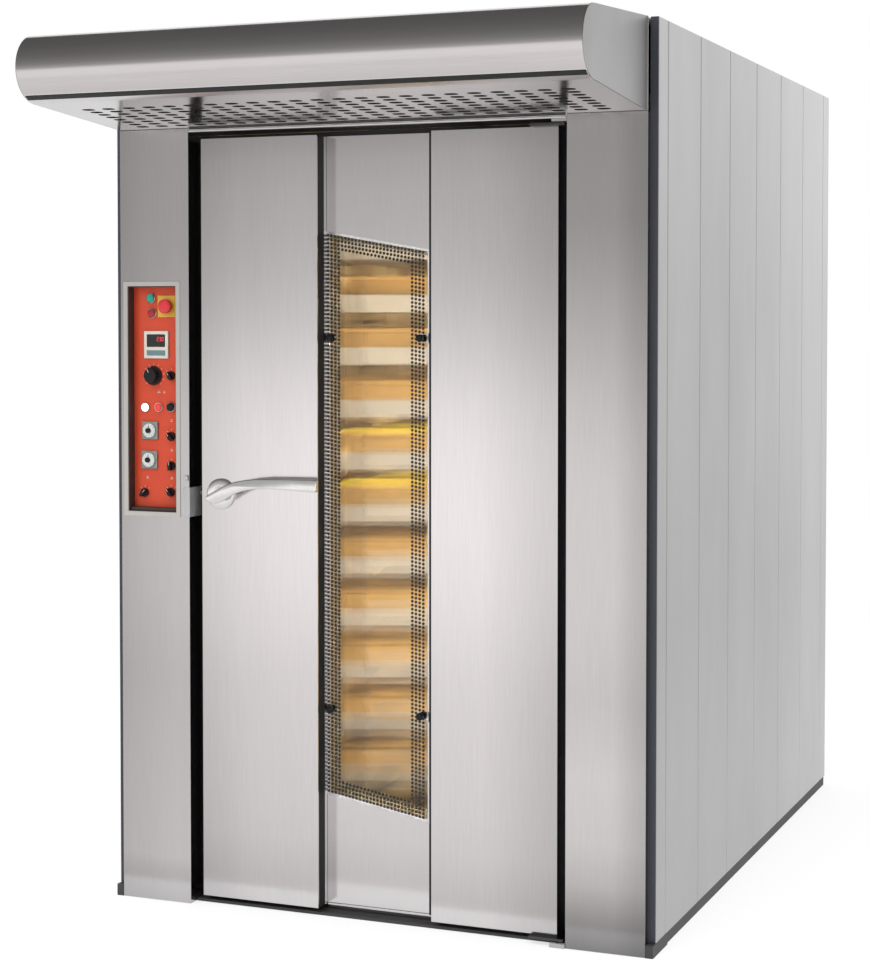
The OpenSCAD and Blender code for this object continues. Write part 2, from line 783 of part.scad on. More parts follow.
// Collars, cases and contact blocks of the controls, and the relays behind them
module control_modules() {
    back_y = fascia_y + fascia_t + module_gap;
    color("dimgray") {
        for (p = button_spots) difference() {
            rod_y([p[0], fascia_y - 6, p[1]], button_r + 3, 6);
            rod_y([p[0], fascia_y - 7, p[1]], button_r + run_gap, 8);
        }
        difference() {
            block([stop_at[0] - 29, fascia_y - 2, stop_at[1] - 29],
                [stop_at[0] + 29, fascia_y, stop_at[1] + 29]);
            rod_y([stop_at[0], fascia_y - 3, stop_at[1]], stem_r + run_gap, 4);
        }
        block([meter_at[0] - 37, fascia_y - 5, meter_at[1] - 37],
            [meter_at[0] + 37, fascia_y, meter_at[1] + 37]);
        for (p = timer_spots) difference() {
            block([p[0] - timer_w / 2, fascia_y - timer_proud, p[1] - timer_w / 2],
                [p[0] + timer_w / 2, fascia_y, p[1] + timer_w / 2]);
            rod_y([p[0], fascia_y - timer_proud - 1, p[1]], stem_r + run_gap, timer_proud + 2);
        }
        for (p = concat(button_spots, dial_spots, timer_spots, [stop_at]))
            block([p[0] - 15, back_y, p[1] - 15], [p[0] + 15, back_y + 30, p[1] + 15]);
        for (z = [-3:3])
            block([control_x - 60, jamb_y - 50, control_z + z * 80 - 30],
                [control_x + 60, jamb_y - 12, control_z + z * 80 + 30]);
        block([control_x - 75, jamb_y - 12, control_z - 290],
            [control_x + 75, jamb_y - 8, control_z + 290]);
    }
}

module indicator_lamps() {
    color("white") for (p = [white_at, red_lamp_at])
        translate([p[0], fascia_y, p[1]]) rotate([90, 0, 0]) {
            cylinder(r = 13, h = 4);
            translate([0, 0, 3]) cylinder(r = 10, h = 6);
        }
}

// A push button: cap in its collar and a stem through the fascia
module push_button(p) {
    rod_y([p[0], fascia_y - button_proud, p[1]], button_r, button_proud - button_travel - 0.5);
    rod_y([p[0], fascia_y - button_travel - 1, p[1]], stem_r, button_travel + fascia_t + 6);
}

module green_button() {
    color("seagreen") push_button(green_at);
}

module red_button() {
    color("darkred") push_button(red_at);
}

module black_button() {
    color("black") push_button(black_at);
}

stop_travel = 5;
module stop_button() {
    y1 = fascia_y - 2 - stop_travel - 1;
    color("red") {
        rod_y([stop_at[0], y1 - 10, stop_at[1]], 19, 10);
        translate([stop_at[0], y1 - 10, stop_at[1]]) rotate([90, 0, 0])
            rotate_extrude() polygon([[0, -1], [19, -1], [19, 0], [17.5, 2.5], [14, 4], [0, 5]]);
        rod_y([stop_at[0], y1 - 1, stop_at[1]], stem_r, fascia_y + fascia_t + 5 - y1);
    }
}

module main_dial() {
    color("black") {
        rod_y([dial_at[0], fascia_y - 6, dial_at[1]], 26, 5);
        rod_y([dial_at[0], fascia_y - 24, dial_at[1]], 20, 19);
        rod_y([dial_at[0], fascia_y - 2, dial_at[1]], stem_r, fascia_t + 10);
    }
}

// A selector switch: round base, turned grip bar and a stem through the fascia
module selector(p, turn) {
    color("black") translate([p[0], fascia_y, p[1]]) rotate([90, 0, 0]) rotate([0, 0, turn]) {
        translate([0, 0, 1]) cylinder(r = 12, h = 6);
        translate([-4, -12, 6]) cube([8, 24, 12]);
        translate([0, 0, -fascia_t - 8]) cylinder(r = stem_r, h = fascia_t + 10);
    }
}

// A timer knob on its case, with a pointer hub
module timer_dial(p) {
    color("lightgray") {
        rod_y([p[0], fascia_y - timer_proud - 6, p[1]], 19, 5);
        rod_y([p[0], fascia_y - timer_proud - 14, p[1]], 7, 9);
        rod_y([p[0], fascia_y - timer_proud - 2, p[1]], stem_r, timer_proud + fascia_t + 9);
    }
}

// ---- Door ----

arm_reach = 84;
bracket_x = hinge_x - 26;
// Hinge sockets below and above the door, and the latch keeper on the left post
module frame_fittings() {
    z_top = door_top + hinge_arm_t + 2;
    bracket_z = door_z - hinge_arm_t - 3;
    keeper_lo = handle_z - 63;
    keeper_hi = handle_z + 15;
    plate_out = post_in + 18;
    color("silver") {
        difference() {
            block([bracket_x, hinge_y - 15, 0], [post_in, hinge_y + 15, bracket_z]);
            translate([hinge_x, hinge_y, 0]) cylinder(r = hinge_pin_r + run_gap, h = door_z);
        }
        difference() {
            block([bracket_x, front_y, z_top], [post_in, hinge_y + 25, lintel_z]);
            translate([hinge_x, hinge_y, z_top - 1]) cylinder(r = hinge_pin_r + run_gap, h = 20);
        }
        block([-plate_out, front_y - 3, keeper_lo], [-post_in + 3, front_y, keeper_hi]);
        block([-post_in, front_y - 3, keeper_lo], [-post_in + 3, door_y + 60, keeper_hi]);
        rod_y([-post_in - 9, front_y - 6, handle_z + 40], 8, 6);
    }
}

// Folded outer panels: two that stand forward and the sunk one between them
module door_panels() {
    bolt_hole = 14;
    color("silver") {
        difference() {
            block([door_left, door_y, door_z], [-centre_w / 2, centre_y + sheet, door_top]);
            block([door_left + sheet, door_y + sheet, door_z + sheet],
                [-centre_w / 2 - sheet, core_y + 1, door_top - sheet]);
            block([door_left - 1, bolt_y - bolt_hole, handle_z - bolt_hole],
                [door_left + sheet + 1, bolt_y + bolt_hole, handle_z + bolt_hole]);
            rod_y([handle_x, door_y - 1, handle_z], spindle_r + run_gap, sheet + 2);
        }
        difference() {
            block([centre_w / 2, door_y, door_z], [door_w / 2, centre_y + sheet, door_top]);
            block([centre_w / 2 + sheet, door_y + sheet, door_z + sheet],
                [door_w / 2 - sheet, core_y + 1, door_top - sheet]);
        }
        difference() {
            block([-centre_w / 2 + 0.5, centre_y, door_z],
                [centre_w / 2 - 0.5, centre_y + sheet, door_top]);
            plate_xz(centre_y - 1, sheet + 2) window_outline(glass_lap);
        }
        for (p = clamp_spots) clamp_ear(p);
    }
}

// A tab at the opening's edge that a clamp screw holds on to
module clamp_ear(p) {
    left = p[0] < (glass_x0 + glass_x1) / 2;
    x0 = left ? glass_x0 + glass_lap - 1 : p[0] - 9;
    x1 = left ? p[0] + 9 : glass_x1 - glass_lap + 1;
    difference() {
        block([x0, centre_y, p[1] - 11], [x1, centre_y + sheet, p[1] + 11]);
        rod_y([p[0], centre_y - 1, p[1]], 4.5, sheet + 2);
    }
}

// Insulated slab with its window opening, and the fillings of the forward panels
module door_core() {
    g = fit_gap;
    color("khaki") difference() {
        union() {
            block([door_left + g, core_y, door_z + g], [door_w / 2 - g, skin_y, door_top - g]);
            block([door_left + sheet + g, door_y + sheet + g, door_z + sheet + g],
                [-centre_w / 2 - sheet - g, core_y + 1, door_top - sheet - g]);
            block([centre_w / 2 + sheet + g, door_y + sheet + g, door_z + sheet + g],
                [door_w / 2 - sheet - g, core_y + 1, door_top - sheet - g]);
        }
        plate_xz(core_y - 1, door_t) window_outline(glass_lap - g);
        block([door_left, bolt_y - 16, handle_z - 16], [handle_x + 40, bolt_y + 16, handle_z + 16]);
        rod_y([handle_x, door_y, handle_z], spindle_r + 4, bolt_y - door_y);
    }
}

// Inner sheet, with the sleeve that lines the window opening
module door_inner_skin() {
    g = fit_gap;
    sleeve_y = core_y + g;
    color("lightgray") {
        difference() {
            block([door_left + g, skin_y, door_z + g], [door_w / 2 - g, door_back, door_top - g]);
            plate_xz(skin_y - 1, inner_skin_t + 2) window_outline(glass_lap + 12);
        }
        difference() {
            plate_xz(sleeve_y, skin_y + 1 - sleeve_y) window_outline(glass_lap);
            plate_xz(sleeve_y - 1, skin_y + 3 - sleeve_y) window_outline(glass_lap + sleeve_t);
        }
    }
}

clamp_low = glass_low + clamp_low_rise;
clamp_high = glass_top - clamp_high_drop;
clamp_spots = [
    [glass_x0 + clamp_inset_left, clamp_low], [glass_x1 - clamp_inset_right, clamp_low],
    [glass_x0 + clamp_inset_left, clamp_high], [glass_x1 - clamp_inset_right, clamp_high]];

module window_panes() {
    color("lightcyan", 0.4) {
        difference() {
            plate_xz(glass_y, glass_t) window_outline(0);
            for (p = clamp_spots) rod_y([p[0], glass_y - 1, p[1]], 4.5, glass_t + 2);
        }
        plate_xz(skin_y - glass_t, glass_t) window_outline(glass_lap + sleeve_t + 0.5);
    }
}

// Four clamp screws with knobs and washers, and the two hinge blocks on the right
module glass_clamps() {
    color("black") {
        for (p = clamp_spots) {
            rod_y([p[0], glass_y - 16, p[1]], clamp_r, 14);
            rod_y([p[0], glass_y - 2.5, p[1]], clamp_r - 2, 2.5);
            rod_y([p[0], glass_y - 1, p[1]], 4, glass_t + glass_stand + sheet + 8);
            difference() {
                rod_y([p[0], glass_y + glass_t, p[1]], 8, glass_stand);
                rod_y([p[0], glass_y, p[1]], 3, 20);
            }
        }
        for (p = [clamp_spots[1], clamp_spots[3]])
            block([glass_x1 + 1, glass_y - 8, p[1] - 14], [glass_x1 + 18, centre_y, p[1] + 14]);
    }
}

// Arms on the door with the pins that turn in the hinge sockets
module door_pivots() {
    x1 = hinge_x;
    color("silver") {
        for (top = [false, true]) {
            z0 = top ? door_top : door_z - hinge_arm_t;
            difference() {
                union() {
                    block([x1 - arm_reach, hinge_y - 8, z0], [x1, door_y + 30, z0 + hinge_arm_t]);
                    translate([x1, hinge_y, z0]) cylinder(r = 10, h = hinge_arm_t);
                }
                block([x1 - 1, hinge_y + 10, z0 - 1], [x1 + 20, door_y + 60, z0 + hinge_arm_t + 1]);
            }
        }
        translate([x1, hinge_y, 3]) cylinder(r = hinge_pin_r, h = door_z - hinge_arm_t - 2);
        translate([x1, hinge_y, door_top + hinge_arm_t - 1]) cylinder(r = hinge_pin_r, h = 9);
    }
}

spindle_r = 11;
bolt_y = door_y + 32;
bolt_r = 8;
lever_y = door_y - lever_gap;
lever_t = 14;

module handle_rosette() {
    color("silver") difference() {
        translate([handle_x, door_y, handle_z]) rotate([90, 0, 0])
            rotate_extrude() polygon([[0, 0], [rosette_r, 0], [rosette_r, 6], [rosette_r - 3, 9], [0, 10]]);
        rod_y([handle_x, door_y - 11, handle_z], spindle_r + run_gap, 12);
    }
}

// Flat lever with a pointed short end, on its neck and spindle
module door_lever() {
    r = lever_reach;
    color("silver") {
        plate_xz(lever_y - lever_t, lever_t) polygon([
            [handle_x - 24, handle_z - 10], [handle_x + 14, handle_z - 22], [handle_x + 60, handle_z + 2],
            [handle_x + 110, handle_z + 18], [handle_x + 150, handle_z + 22],
            [handle_x + r - 6, handle_z + 15], [handle_x + r, handle_z + 20],
            [handle_x + r, handle_z + 46], [handle_x + r - 6, handle_z + 50],
            [handle_x + 130, handle_z + 47], [handle_x + 70, handle_z + 40],
            [handle_x + 20, handle_z + 20]]);
        rod_y([handle_x, lever_y - 1, handle_z], spindle_r, lever_gap + 33 - spindle_r);
    }
}

// Bolt that slides out of the door's free edge
module latch_bolt() {
    back = handle_x - spindle_r - bolt_travel - 2;
    color("dimgray") {
        rod_x([door_left - bolt_out, bolt_y, handle_z], bolt_r, back - door_left + bolt_out);
        rod_x([back - 8, bolt_y, handle_z], bolt_r + 4, 8);
    }
}

// ---- Rack ----

// Shaft from the gearbox down to two open hooks
module drive_shaft() {
    yoke_z = hanger_z + 32;
    top_z = slab_top + 118;
    color("gray") on_rack() {
        translate([0, 0, yoke_z]) cylinder(r = drive_r, h = top_z - yoke_z);
        block([-100, -30, yoke_z], [100, 30, yoke_z + 12]);
        for (s = [-1, 1]) difference() {
            block([s * 80 - 6, -30, hanger_z - 28], [s * 80 + 6, 30, yoke_z + 1]);
            rod_x([s * 80 - 10, 0, hanger_z], hanger_r + run_gap, 20);
            block([s * 80 - 10, -31, hanger_z - hanger_r - run_gap],
                [s * 80 + 10, 0, hanger_z + hanger_r + run_gap]);
        }
    }
}

// Welded frame with runners, hanger bar and the fixed castor forks
module rack_frame() {
    l = rack_l / 2;
    w = rack_w / 2;
    g = 2;
    color("gray") on_rack() {
        for (sx = [-1, 1], sy = [-1, 1])
            translate([sx * (l - tube / 2), sy * (w - tube / 2), rack_base_z]) difference() {
                translate([-tube / 2, -tube / 2, 0]) cube([tube, tube, rack_top_z + tube - rack_base_z]);
                translate([-tube / 2 + tube_wall, -tube / 2 + tube_wall, tube])
                    cube([tube - 2 * tube_wall, tube - 2 * tube_wall, rack_top_z - rack_base_z - tube]);
            }
        for (z = [rack_base_z, rack_top_z]) difference() {
            block([-l, -w, z], [l, w, z + tube]);
            block([-l + tube, -w + tube, z - 1], [l - tube, w - tube, z + tube + 1]);
        }
        for (sx = [-1, 1], i = [0:rack_levels - 1])
            translate([sx * (l - tube / 2), 0, first_tray_z + i * tray_pitch - 4]) {
                block([-tube / 2, -w + tube / 2, 0], [tube / 2, w - tube / 2, 3]);
                translate([-sx * (tube + runner) / 2, 0, 0])
                    block([-runner / 2, -w + 1, 0], [runner / 2, w - 1, 3]);
            }
        block([-tube / 2, -w + 1, rack_top_z], [tube / 2, w - 1, rack_top_z + tube]);
        block([-tube / 2, -9, rack_top_z + 1], [tube / 2, 9, hanger_z]);
        rod_x([-110, 0, hanger_z], hanger_r, 220);
        for (sx = [-1, 1]) {
            translate([sx * castor_x, castor_y, 0]) castor_fork_body(0);
            translate([sx * castor_x, -castor_y, rack_base_z - 7]) difference() {
                block([-30, -30, 0], [30, 30, 8]);
                translate([0, 0, -1]) cylinder(r = 8 + run_gap, h = 20);
            }
            for (sy = [-1, 1]) translate([sx * castor_x, sy * castor_y, rack_base_z])
                block([-31, -40, 0], [31, 40, 6]);
        }
    }
}

wheel_z = floor_z + rack_lift + castor_r;
// Crown plate, two legs and the axle; the axle lies behind by the trail
module castor_fork_body(trail) {
    side = wheel_t / 2 + 2;
    top = rack_base_z - (trail > 0 ? 9 : 0);
    block([-side - 4, -26 + trail / 2, top - 6], [side + 4, 26 + trail / 2, top]);
    for (s = [-1, 1])
        block([s * (side + 2) - 2, trail - 16, wheel_z - 14], [s * (side + 2) + 2, trail + 16, top - 5]);
    rod_x([-side - 1, trail, wheel_z], axle_r, 2 * side + 2);
}

module castor_fork(s) {
    color("silver") on_rack() translate([s * castor_x, -castor_y, 0]) {
        castor_fork_body(castor_trail);
        translate([0, 0, rack_base_z - 16]) cylinder(r = 8, h = 15);
    }
}

module castor_wheel(x, y) {
    on_rack() difference() {
        rod_x([x - wheel_t / 2, y, wheel_z], castor_r, wheel_t);
        rod_x([x - wheel_t, y, wheel_z], axle_r + run_gap, 2 * wheel_t);
    }
}

// Shallow sheet trays with tall rims, one on each level
module trays() {
    l = rack_l / 2 - tube - 2;
    w = rack_w / 2 + 1;
    color("antiquewhite") on_rack() for (i = [0:rack_levels - 1])
        translate([0, 0, first_tray_z + i * tray_pitch]) difference() {
            block([-l, -w, 0], [l, w, tray_h]);
            block([-l + tray_wall, -w + tray_wall, tray_wall],
                [l - tray_wall, w - tray_wall, tray_h + 1]);
        }
}

// Straps of four tins with their lids on, open below where they stand in the trays
module loaf_tins() {
    l = rack_l / 2 - tube - 8;
    w = rack_w / 2 - 6;
    tins = 4;
    tin_gap = 6;
    tin_w = (2 * w + tin_gap) / tins;
    h = tray_h + tin_rise - 2;
    t = tin_wall;
    color("peru") on_rack() for (i = [0:rack_levels - 1])
        translate([0, 0, first_tray_z + i * tray_pitch + 2]) {
            for (j = [0:tins - 1]) translate([0, -w + j * tin_w, 0]) difference() {
                block([-l, 0, 0], [l, tin_w - tin_gap, h]);
                block([-l + t, t, -1], [l - t, tin_w - tin_gap - t, h - t]);
            }
            for (x = [-l + 40, l - 60]) block([x, -w + 10, h - 12], [x + 20, w - 10, h - 12 + t]);
        }
}

// Lamps in the front corners of the chamber
module chamber_lamps() {
    x = liner_x - 60;
    y = chamber_y0 + 45;
    color("white") both_sides() for (z = [700, 1500]) {
        block([x - 20, chamber_y0 + 1, z - 70], [x + 20, chamber_y0 + 22, z + 70]);
        translate([x, y, z - 60]) cylinder(r = 14, h = 120);
        for (s = [-1, 1]) translate([x, y, z + s * 66 - 6]) block([-16, -24, 0], [16, 16, 12]);
    }
}

base_frame();
left_post();
right_post();
dark_trims();
header_panel();
side_panels();
rear_panels();
roof_panels();
insulation_slabs();
chamber_lining();
air_ducts();
heat_exchanger();
burner();
fan_motor();
steam_cascade();
flue_pipe();
rack_gearmotor();
hood_shell();
hood_end_plates();
hood_grille();
extractor_housing();
control_bezel();
control_fascia();
control_modules();
indicator_lamps();
frame_fittings();
chamber_lamps();
fan_wheel();
flue_damper();
extractor_wheel();
green_button();
red_button();
black_button();
stop_button();
main_dial();
selector(sel_dial_at, 30);  // selector_dial
selector(sel_up_at, 40);  // selector_timer_upper
selector(sel_low_at, 0);  // selector_timer_lower
selector(sel_left_at, -45);  // selector_left
selector(sel_right_at, 35);  // selector_right
timer_dial(timer_up_at);  // timer_dial_upper
timer_dial(timer_low_at);  // timer_dial_lower
door_panels();
door_core();
door_inner_skin();
window_panes();
glass_clamps();
door_pivots();
handle_rosette();
door_lever();
latch_bolt();
drive_shaft();
rack_frame();
trays();
loaf_tins();
castor_fork(-1);  // castor_fork_left
castor_fork(1);  // castor_fork_right
color("black") castor_wheel(-castor_x, -castor_y + castor_trail);  // castor_wheel_left
color("black") castor_wheel(castor_x, -castor_y + castor_trail);  // castor_wheel_right
color("black") {  // castor_wheels_rear
    castor_wheel(-castor_x, castor_y);
    castor_wheel(castor_x, castor_y);
}
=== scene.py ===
# Rotating rack oven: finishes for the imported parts, and finer pieces where the light catches them
import json
from math import asin, atan2, cos, pi, radians, sin, sqrt, tan, tau

import bmesh
import bpy
from mathutils import Matrix, Vector


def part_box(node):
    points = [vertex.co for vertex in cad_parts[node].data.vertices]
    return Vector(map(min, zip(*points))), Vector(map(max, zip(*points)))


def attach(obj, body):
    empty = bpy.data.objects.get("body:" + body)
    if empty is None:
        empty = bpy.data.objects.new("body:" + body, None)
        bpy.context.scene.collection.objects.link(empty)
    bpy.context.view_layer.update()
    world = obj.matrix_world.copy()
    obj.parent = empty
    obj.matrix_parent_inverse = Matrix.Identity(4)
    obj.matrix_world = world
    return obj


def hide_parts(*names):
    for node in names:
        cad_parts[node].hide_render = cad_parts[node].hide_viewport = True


ops = bmesh.ops
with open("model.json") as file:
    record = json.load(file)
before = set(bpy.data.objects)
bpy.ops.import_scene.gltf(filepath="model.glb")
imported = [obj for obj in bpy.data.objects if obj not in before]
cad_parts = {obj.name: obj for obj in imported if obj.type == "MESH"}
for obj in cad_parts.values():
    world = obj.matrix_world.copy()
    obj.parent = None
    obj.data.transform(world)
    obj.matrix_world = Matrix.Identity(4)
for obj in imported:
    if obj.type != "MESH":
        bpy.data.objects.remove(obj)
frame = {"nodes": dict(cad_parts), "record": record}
scene = bpy.context.scene
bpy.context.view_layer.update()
nodes = frame["nodes"]
bodyOf = {node: body for body, members in frame["record"]["behaviour"]["bodies"].items() for node in members}
print("packed model loaded:", len(nodes), "parts")


# ---- mesh helpers ----

def moved(x, y, z):
    return Matrix.Translation((x, y, z))


def turned(angle, axis):
    return Matrix.Rotation(angle, 4, axis)


def middleOf(node):
    low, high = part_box(node)
    return (low + high) / 2


# Rounds every edge that meets the given corners, and gives back the corners this makes
def roundEdges(bm, verts, radius, steps):
    edges = list({e for v in verts for e in v.link_edges})
    made = ops.bevel(bm, geom=edges, offset=radius, offset_type="OFFSET", segments=steps,
                     profile=0.5, material=-1, affect="EDGES", clamp_overlap=True)
    return {v for f in made["faces"] for v in f.verts}


def addBlock(bm, low, high, radius=0.0, steps=2):
    low, high = Vector(low), Vector(high)
    verts = ops.create_cube(bm, size=1.0)["verts"]
    ops.scale(bm, vec=high - low, verts=verts)
    ops.translate(bm, vec=(low + high) / 2, verts=verts)
    if radius > 0:
        rounded = roundEdges(bm, verts, radius, steps)
        verts = list(rounded | {v for v in verts if v.is_valid})
    return verts


# Points given in millimetres
def mm(points):
    return [(x / 1000, y / 1000) for x, y in points]


# Turns a profile of [radius, height] about the local Z axis
def addTurned(bm, profile, steps=32, place=Matrix()):
    ring = [bm.verts.new((r, 0, z)) for r, z in profile]
    edges = [bm.edges.new(pair) for pair in zip(ring, ring[1:])]
    ops.spin(bm, geom=ring + edges, cent=(0, 0, 0), axis=(0, 0, 1), dvec=(0, 0, 0),
             angle=tau, steps=steps, use_merge=True, use_duplicate=False)
    verts = list({v for v in bm.verts if v.is_valid and not v.tag})
    ops.transform(bm, matrix=place, verts=verts)
    for v in verts:
        v.tag = True
    return verts


# A flat outline in local X and Y, given thickness along local Z, with its edges rounded
def addOutline(bm, outline, thick, radius=0.0, steps=2, place=Matrix()):
    corners = [bm.verts.new((x, y, 0)) for x, y in outline]
    face = bm.faces.new(corners)
    made = ops.extrude_face_region(bm, geom=[face])["geom"]
    top = [g for g in made if isinstance(g, bmesh.types.BMVert)]
    ops.translate(bm, vec=(0, 0, thick), verts=top)
    verts = corners + top
    if radius > 0:
        verts = list(roundEdges(bm, verts, radius, steps))
    ops.transform(bm, matrix=place, verts=verts)
    for v in verts:
        v.tag = True
    return verts


# Local X to the right, local Y up and local Z towards the viewer
def facing(point, turn=0.0):
    return Matrix.Translation(point) @ turned(pi / 2, "X") @ turned(turn, "Z")


# A piece's name from a node's: door_lever gives doorLever
def pieceName(node):
    first, *others = node.split("_")
    return first + "".join(word.capitalize() for word in others)


def linkMesh(name, bm):
    mesh = bpy.data.meshes.new(name)
    bm.to_mesh(mesh)
    bm.free()
    thing = bpy.data.objects.new(name, mesh)
    scene.collection.objects.link(thing)
    return thing


def finishPiece(name, bm, material, body="oven", stands=(), smoothBelow=35, bevel=0.0):
    ops.remove_doubles(bm, verts=bm.verts[:], dist=1e-6)
    ops.recalc_face_normals(bm, faces=bm.faces[:])
    for face in bm.faces:
        face.smooth = True
    for edge in bm.edges:
        edge.smooth = edge.is_manifold and edge.calc_face_angle(0) < radians(smoothBelow)
    piece = linkMesh(name, bm)
    piece.data.materials.append(material)
    if bevel > 0:
        rounding = piece.modifiers.new("edges", "BEVEL")
        rounding.width, rounding.segments, rounding.limit_method = bevel, 2, "ANGLE"
        rounding.harden_normals = True
    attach(piece, body)
    if stands:
        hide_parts(*stands)
    return piece


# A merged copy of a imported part, with its sharp folds rounded a little
def soften(node, material, width):
    bm = bmesh.new()
    bm.from_mesh(nodes[node].data)
    ops.remove_doubles(bm, verts=bm.verts[:], dist=2e-5)
    ops.dissolve_limit(bm, angle_limit=radians(1), verts=bm.verts[:], edges=bm.edges[:])
    return finishPiece(pieceName(node), bm, material, bodyOf[node], stands=[node], bevel=width)


# ---- material helpers ----

def newNode(tree, kind):
    return tree.nodes.new("ShaderNode" + kind)


def setInputs(node, **values):
    for key, value in values.items():
        node.inputs[key.replace("_", " ")].default_value = value


def startMaterial(name, color, **values):
    material = bpy.data.materials.new(name)
    material.use_nodes = True
    shader = material.node_tree.nodes["Principled BSDF"]
    setInputs(shader, Base_Color=(*color, 1), **values)
    return material, material.node_tree, shader


def objectPlace(tree, scale=(1, 1, 1), shift=(0, 0, 0)):
    place = newNode(tree, "TexCoord")
    mapping = newNode(tree, "Mapping")
    setInputs(mapping, Scale=scale, Location=shift)
    tree.links.new(place.outputs["Object"], mapping.inputs["Vector"])
    return mapping.outputs["Vector"]


def noiseOn(tree, vector, scale, detail=4.0, rough=0.55, warp=0.0):
    noise = newNode(tree, "TexNoise")
    setInputs(noise, Scale=scale, Detail=detail, Roughness=rough, Distortion=warp)
    tree.links.new(vector, noise.inputs["Vector"])
    return noise.outputs["Fac"]


def tinted(color, factor):
    return tuple(min(1, c * factor) for c in color)


def mathOn(tree, operation, first, second):
    node = newNode(tree, "Math")
    node.operation = operation
    tree.links.new(first, node.inputs[0])
    tree.links.new(second, node.inputs[1])
    return node.outputs[0]


# 1 for rays that the camera, a reflection or glass sends to a surface, 0 for the others
def directRays(tree):
    path = newNode(tree, "LightPath")
    seen = mathOn(tree, "MAXIMUM", path.outputs["Is Camera Ray"], path.outputs["Is Glossy Ray"])
    return mathOn(tree, "MAXIMUM", seen, path.outputs["Is Transmission Ray"])


def rampOn(tree, fac, stops):
    ramp = newNode(tree, "ValToRGB")
    line = ramp.color_ramp.elements
    while len(line) < len(stops):
        line.new(0.5)
    for element, (at, color) in zip(line, stops):
        element.position = at
        element.color = (*color, 1) if hasattr(color, "__len__") else (color, color, color, 1)
    tree.links.new(fac, ramp.inputs["Fac"])
    return ramp.outputs["Color"]


def mixColor(tree, fac, a, b, blend="MIX"):
    mix = newNode(tree, "Mix")
    mix.data_type, mix.blend_type = "RGBA", blend
    for socket, value in ((mix.inputs[0], fac), (mix.inputs[6], a), (mix.inputs[7], b)):
        if isinstance(value, bpy.types.NodeSocket):
            tree.links.new(value, socket)
        else:
            socket.default_value = value if isinstance(value, float) else (*value, 1)
    return mix.outputs[2]


# How far a point lies along one object axis, from 0 to 1 between two places
def along(tree, axis, span):
    split = newNode(tree, "SeparateXYZ")
    tree.links.new(objectPlace(tree), split.inputs[0])
    share = newNode(tree, "MapRange")
    setInputs(share, From_Min=span[0], From_Max=span[1])
    tree.links.new(split.outputs[axis], share.inputs["Value"])
    return share.outputs["Result"]


def rangeOn(tree, value, low, high):
    spread = newNode(tree, "MapRange")
    setInputs(spread, To_Min=low, To_Max=high)
    tree.links.new(value, spread.inputs["Value"])
    return spread.outputs["Result"]


def bumpOn(tree, shader, height, strength, distance):
    bump = newNode(tree, "Bump")
    setInputs(bump, Strength=strength, Distance=distance)
    tree.links.new(height, bump.inputs["Height"])
    tree.links.new(bump.outputs["Normal"], shader.inputs["Normal"])


def paint(tree, shader, tone, wear, rough):
    tree.links.new(tone, shader.inputs["Base Color"])
    tree.links.new(rangeOn(tree, wear, *rough), shader.inputs["Roughness"])


# Stainless sheet: fine grain along one axis, cloudy tone, wiped streaks in the gloss, and painted light and
# shade along an axis where given
def brushedSheet(name, color, grain, rough=(0.26, 0.38), cloud=0.08, depth=0.25, metal=1.0, shade=None):
    material, tree, shader = startMaterial(name, color, Metallic=metal)
    fine = {"x": (3, 260, 260), "y": (260, 3, 260), "z": (260, 260, 3)}[grain]
    lines = noiseOn(tree, objectPlace(tree, fine), 4.0, 3.0, 0.6)
    broad = {"x": (0.6, 2.0, 2.2), "y": (2.0, 0.6, 2.0), "z": (2.2, 2.0, 0.5)}[grain]
    clouds = noiseOn(tree, objectPlace(tree, broad), 1.6, 3.0, 0.5, 0.3)
    tone = rampOn(tree, clouds, [(0.35, tinted(color, 1 - cloud)), (0.65, tinted(color, 1 + cloud))])
    grainTone = rampOn(tree, lines, [(0.3, 0.93), (0.7, 1.0)])
    tone = mixColor(tree, 1.0, tone, grainTone, "MULTIPLY")
    # painted light and shade: the tone multiplied along each axis that the shade table gives
    for axis, span, stops in shade or ():
        tone = mixColor(tree, 1.0, tone, rampOn(tree, along(tree, axis, span), stops), "MULTIPLY")
    smearPlace = objectPlace(tree, tuple(b * 2.5 for b in broad), shift=(0.3, 0.1, 0.7))
    paint(tree, shader, tone, noiseOn(tree, smearPlace, 2.2, 5.0, 0.6, 0.6), rough)
    bumpOn(tree, shader, lines, depth, 0.0002)
    return material


# Painted or moulded surface with a fine texture, dust in the colour and worn gloss
def coated(name, color, rough=(0.35, 0.5), grainScale=420.0, depth=0.15, vary=0.06, metal=0.0, **values):
    material, tree, shader = startMaterial(name, color, Metallic=metal, **values)
    place = objectPlace(tree)
    grain = noiseOn(tree, place, grainScale, 3.0)
    patch = noiseOn(tree, place, 9.0, 5.0, 0.6, 0.4)
    tone = rampOn(tree, patch, [(0.3, tinted(color, 1 - vary)), (0.7, tinted(color, 1 + vary))])
    paint(tree, shader, tone, patch, rough)
    bumpOn(tree, shader, grain, depth, 0.0003)
    return material


def polished(name, color, rough=(0.06, 0.14)):
    material, tree, shader = startMaterial(name, color, Metallic=1.0)
    wear = noiseOn(tree, objectPlace(tree), 38.0, 6.0, 0.65, 0.5)
    hair = noiseOn(tree, objectPlace(tree, (30, 400, 400)), 3.0, 2.0)
    paint(tree, shader, rampOn(tree, wear, [(0.3, tinted(color, 0.93)), (0.7, color)]), wear, rough)
    bumpOn(tree, shader, hair, 0.05, 0.0001)
    return material


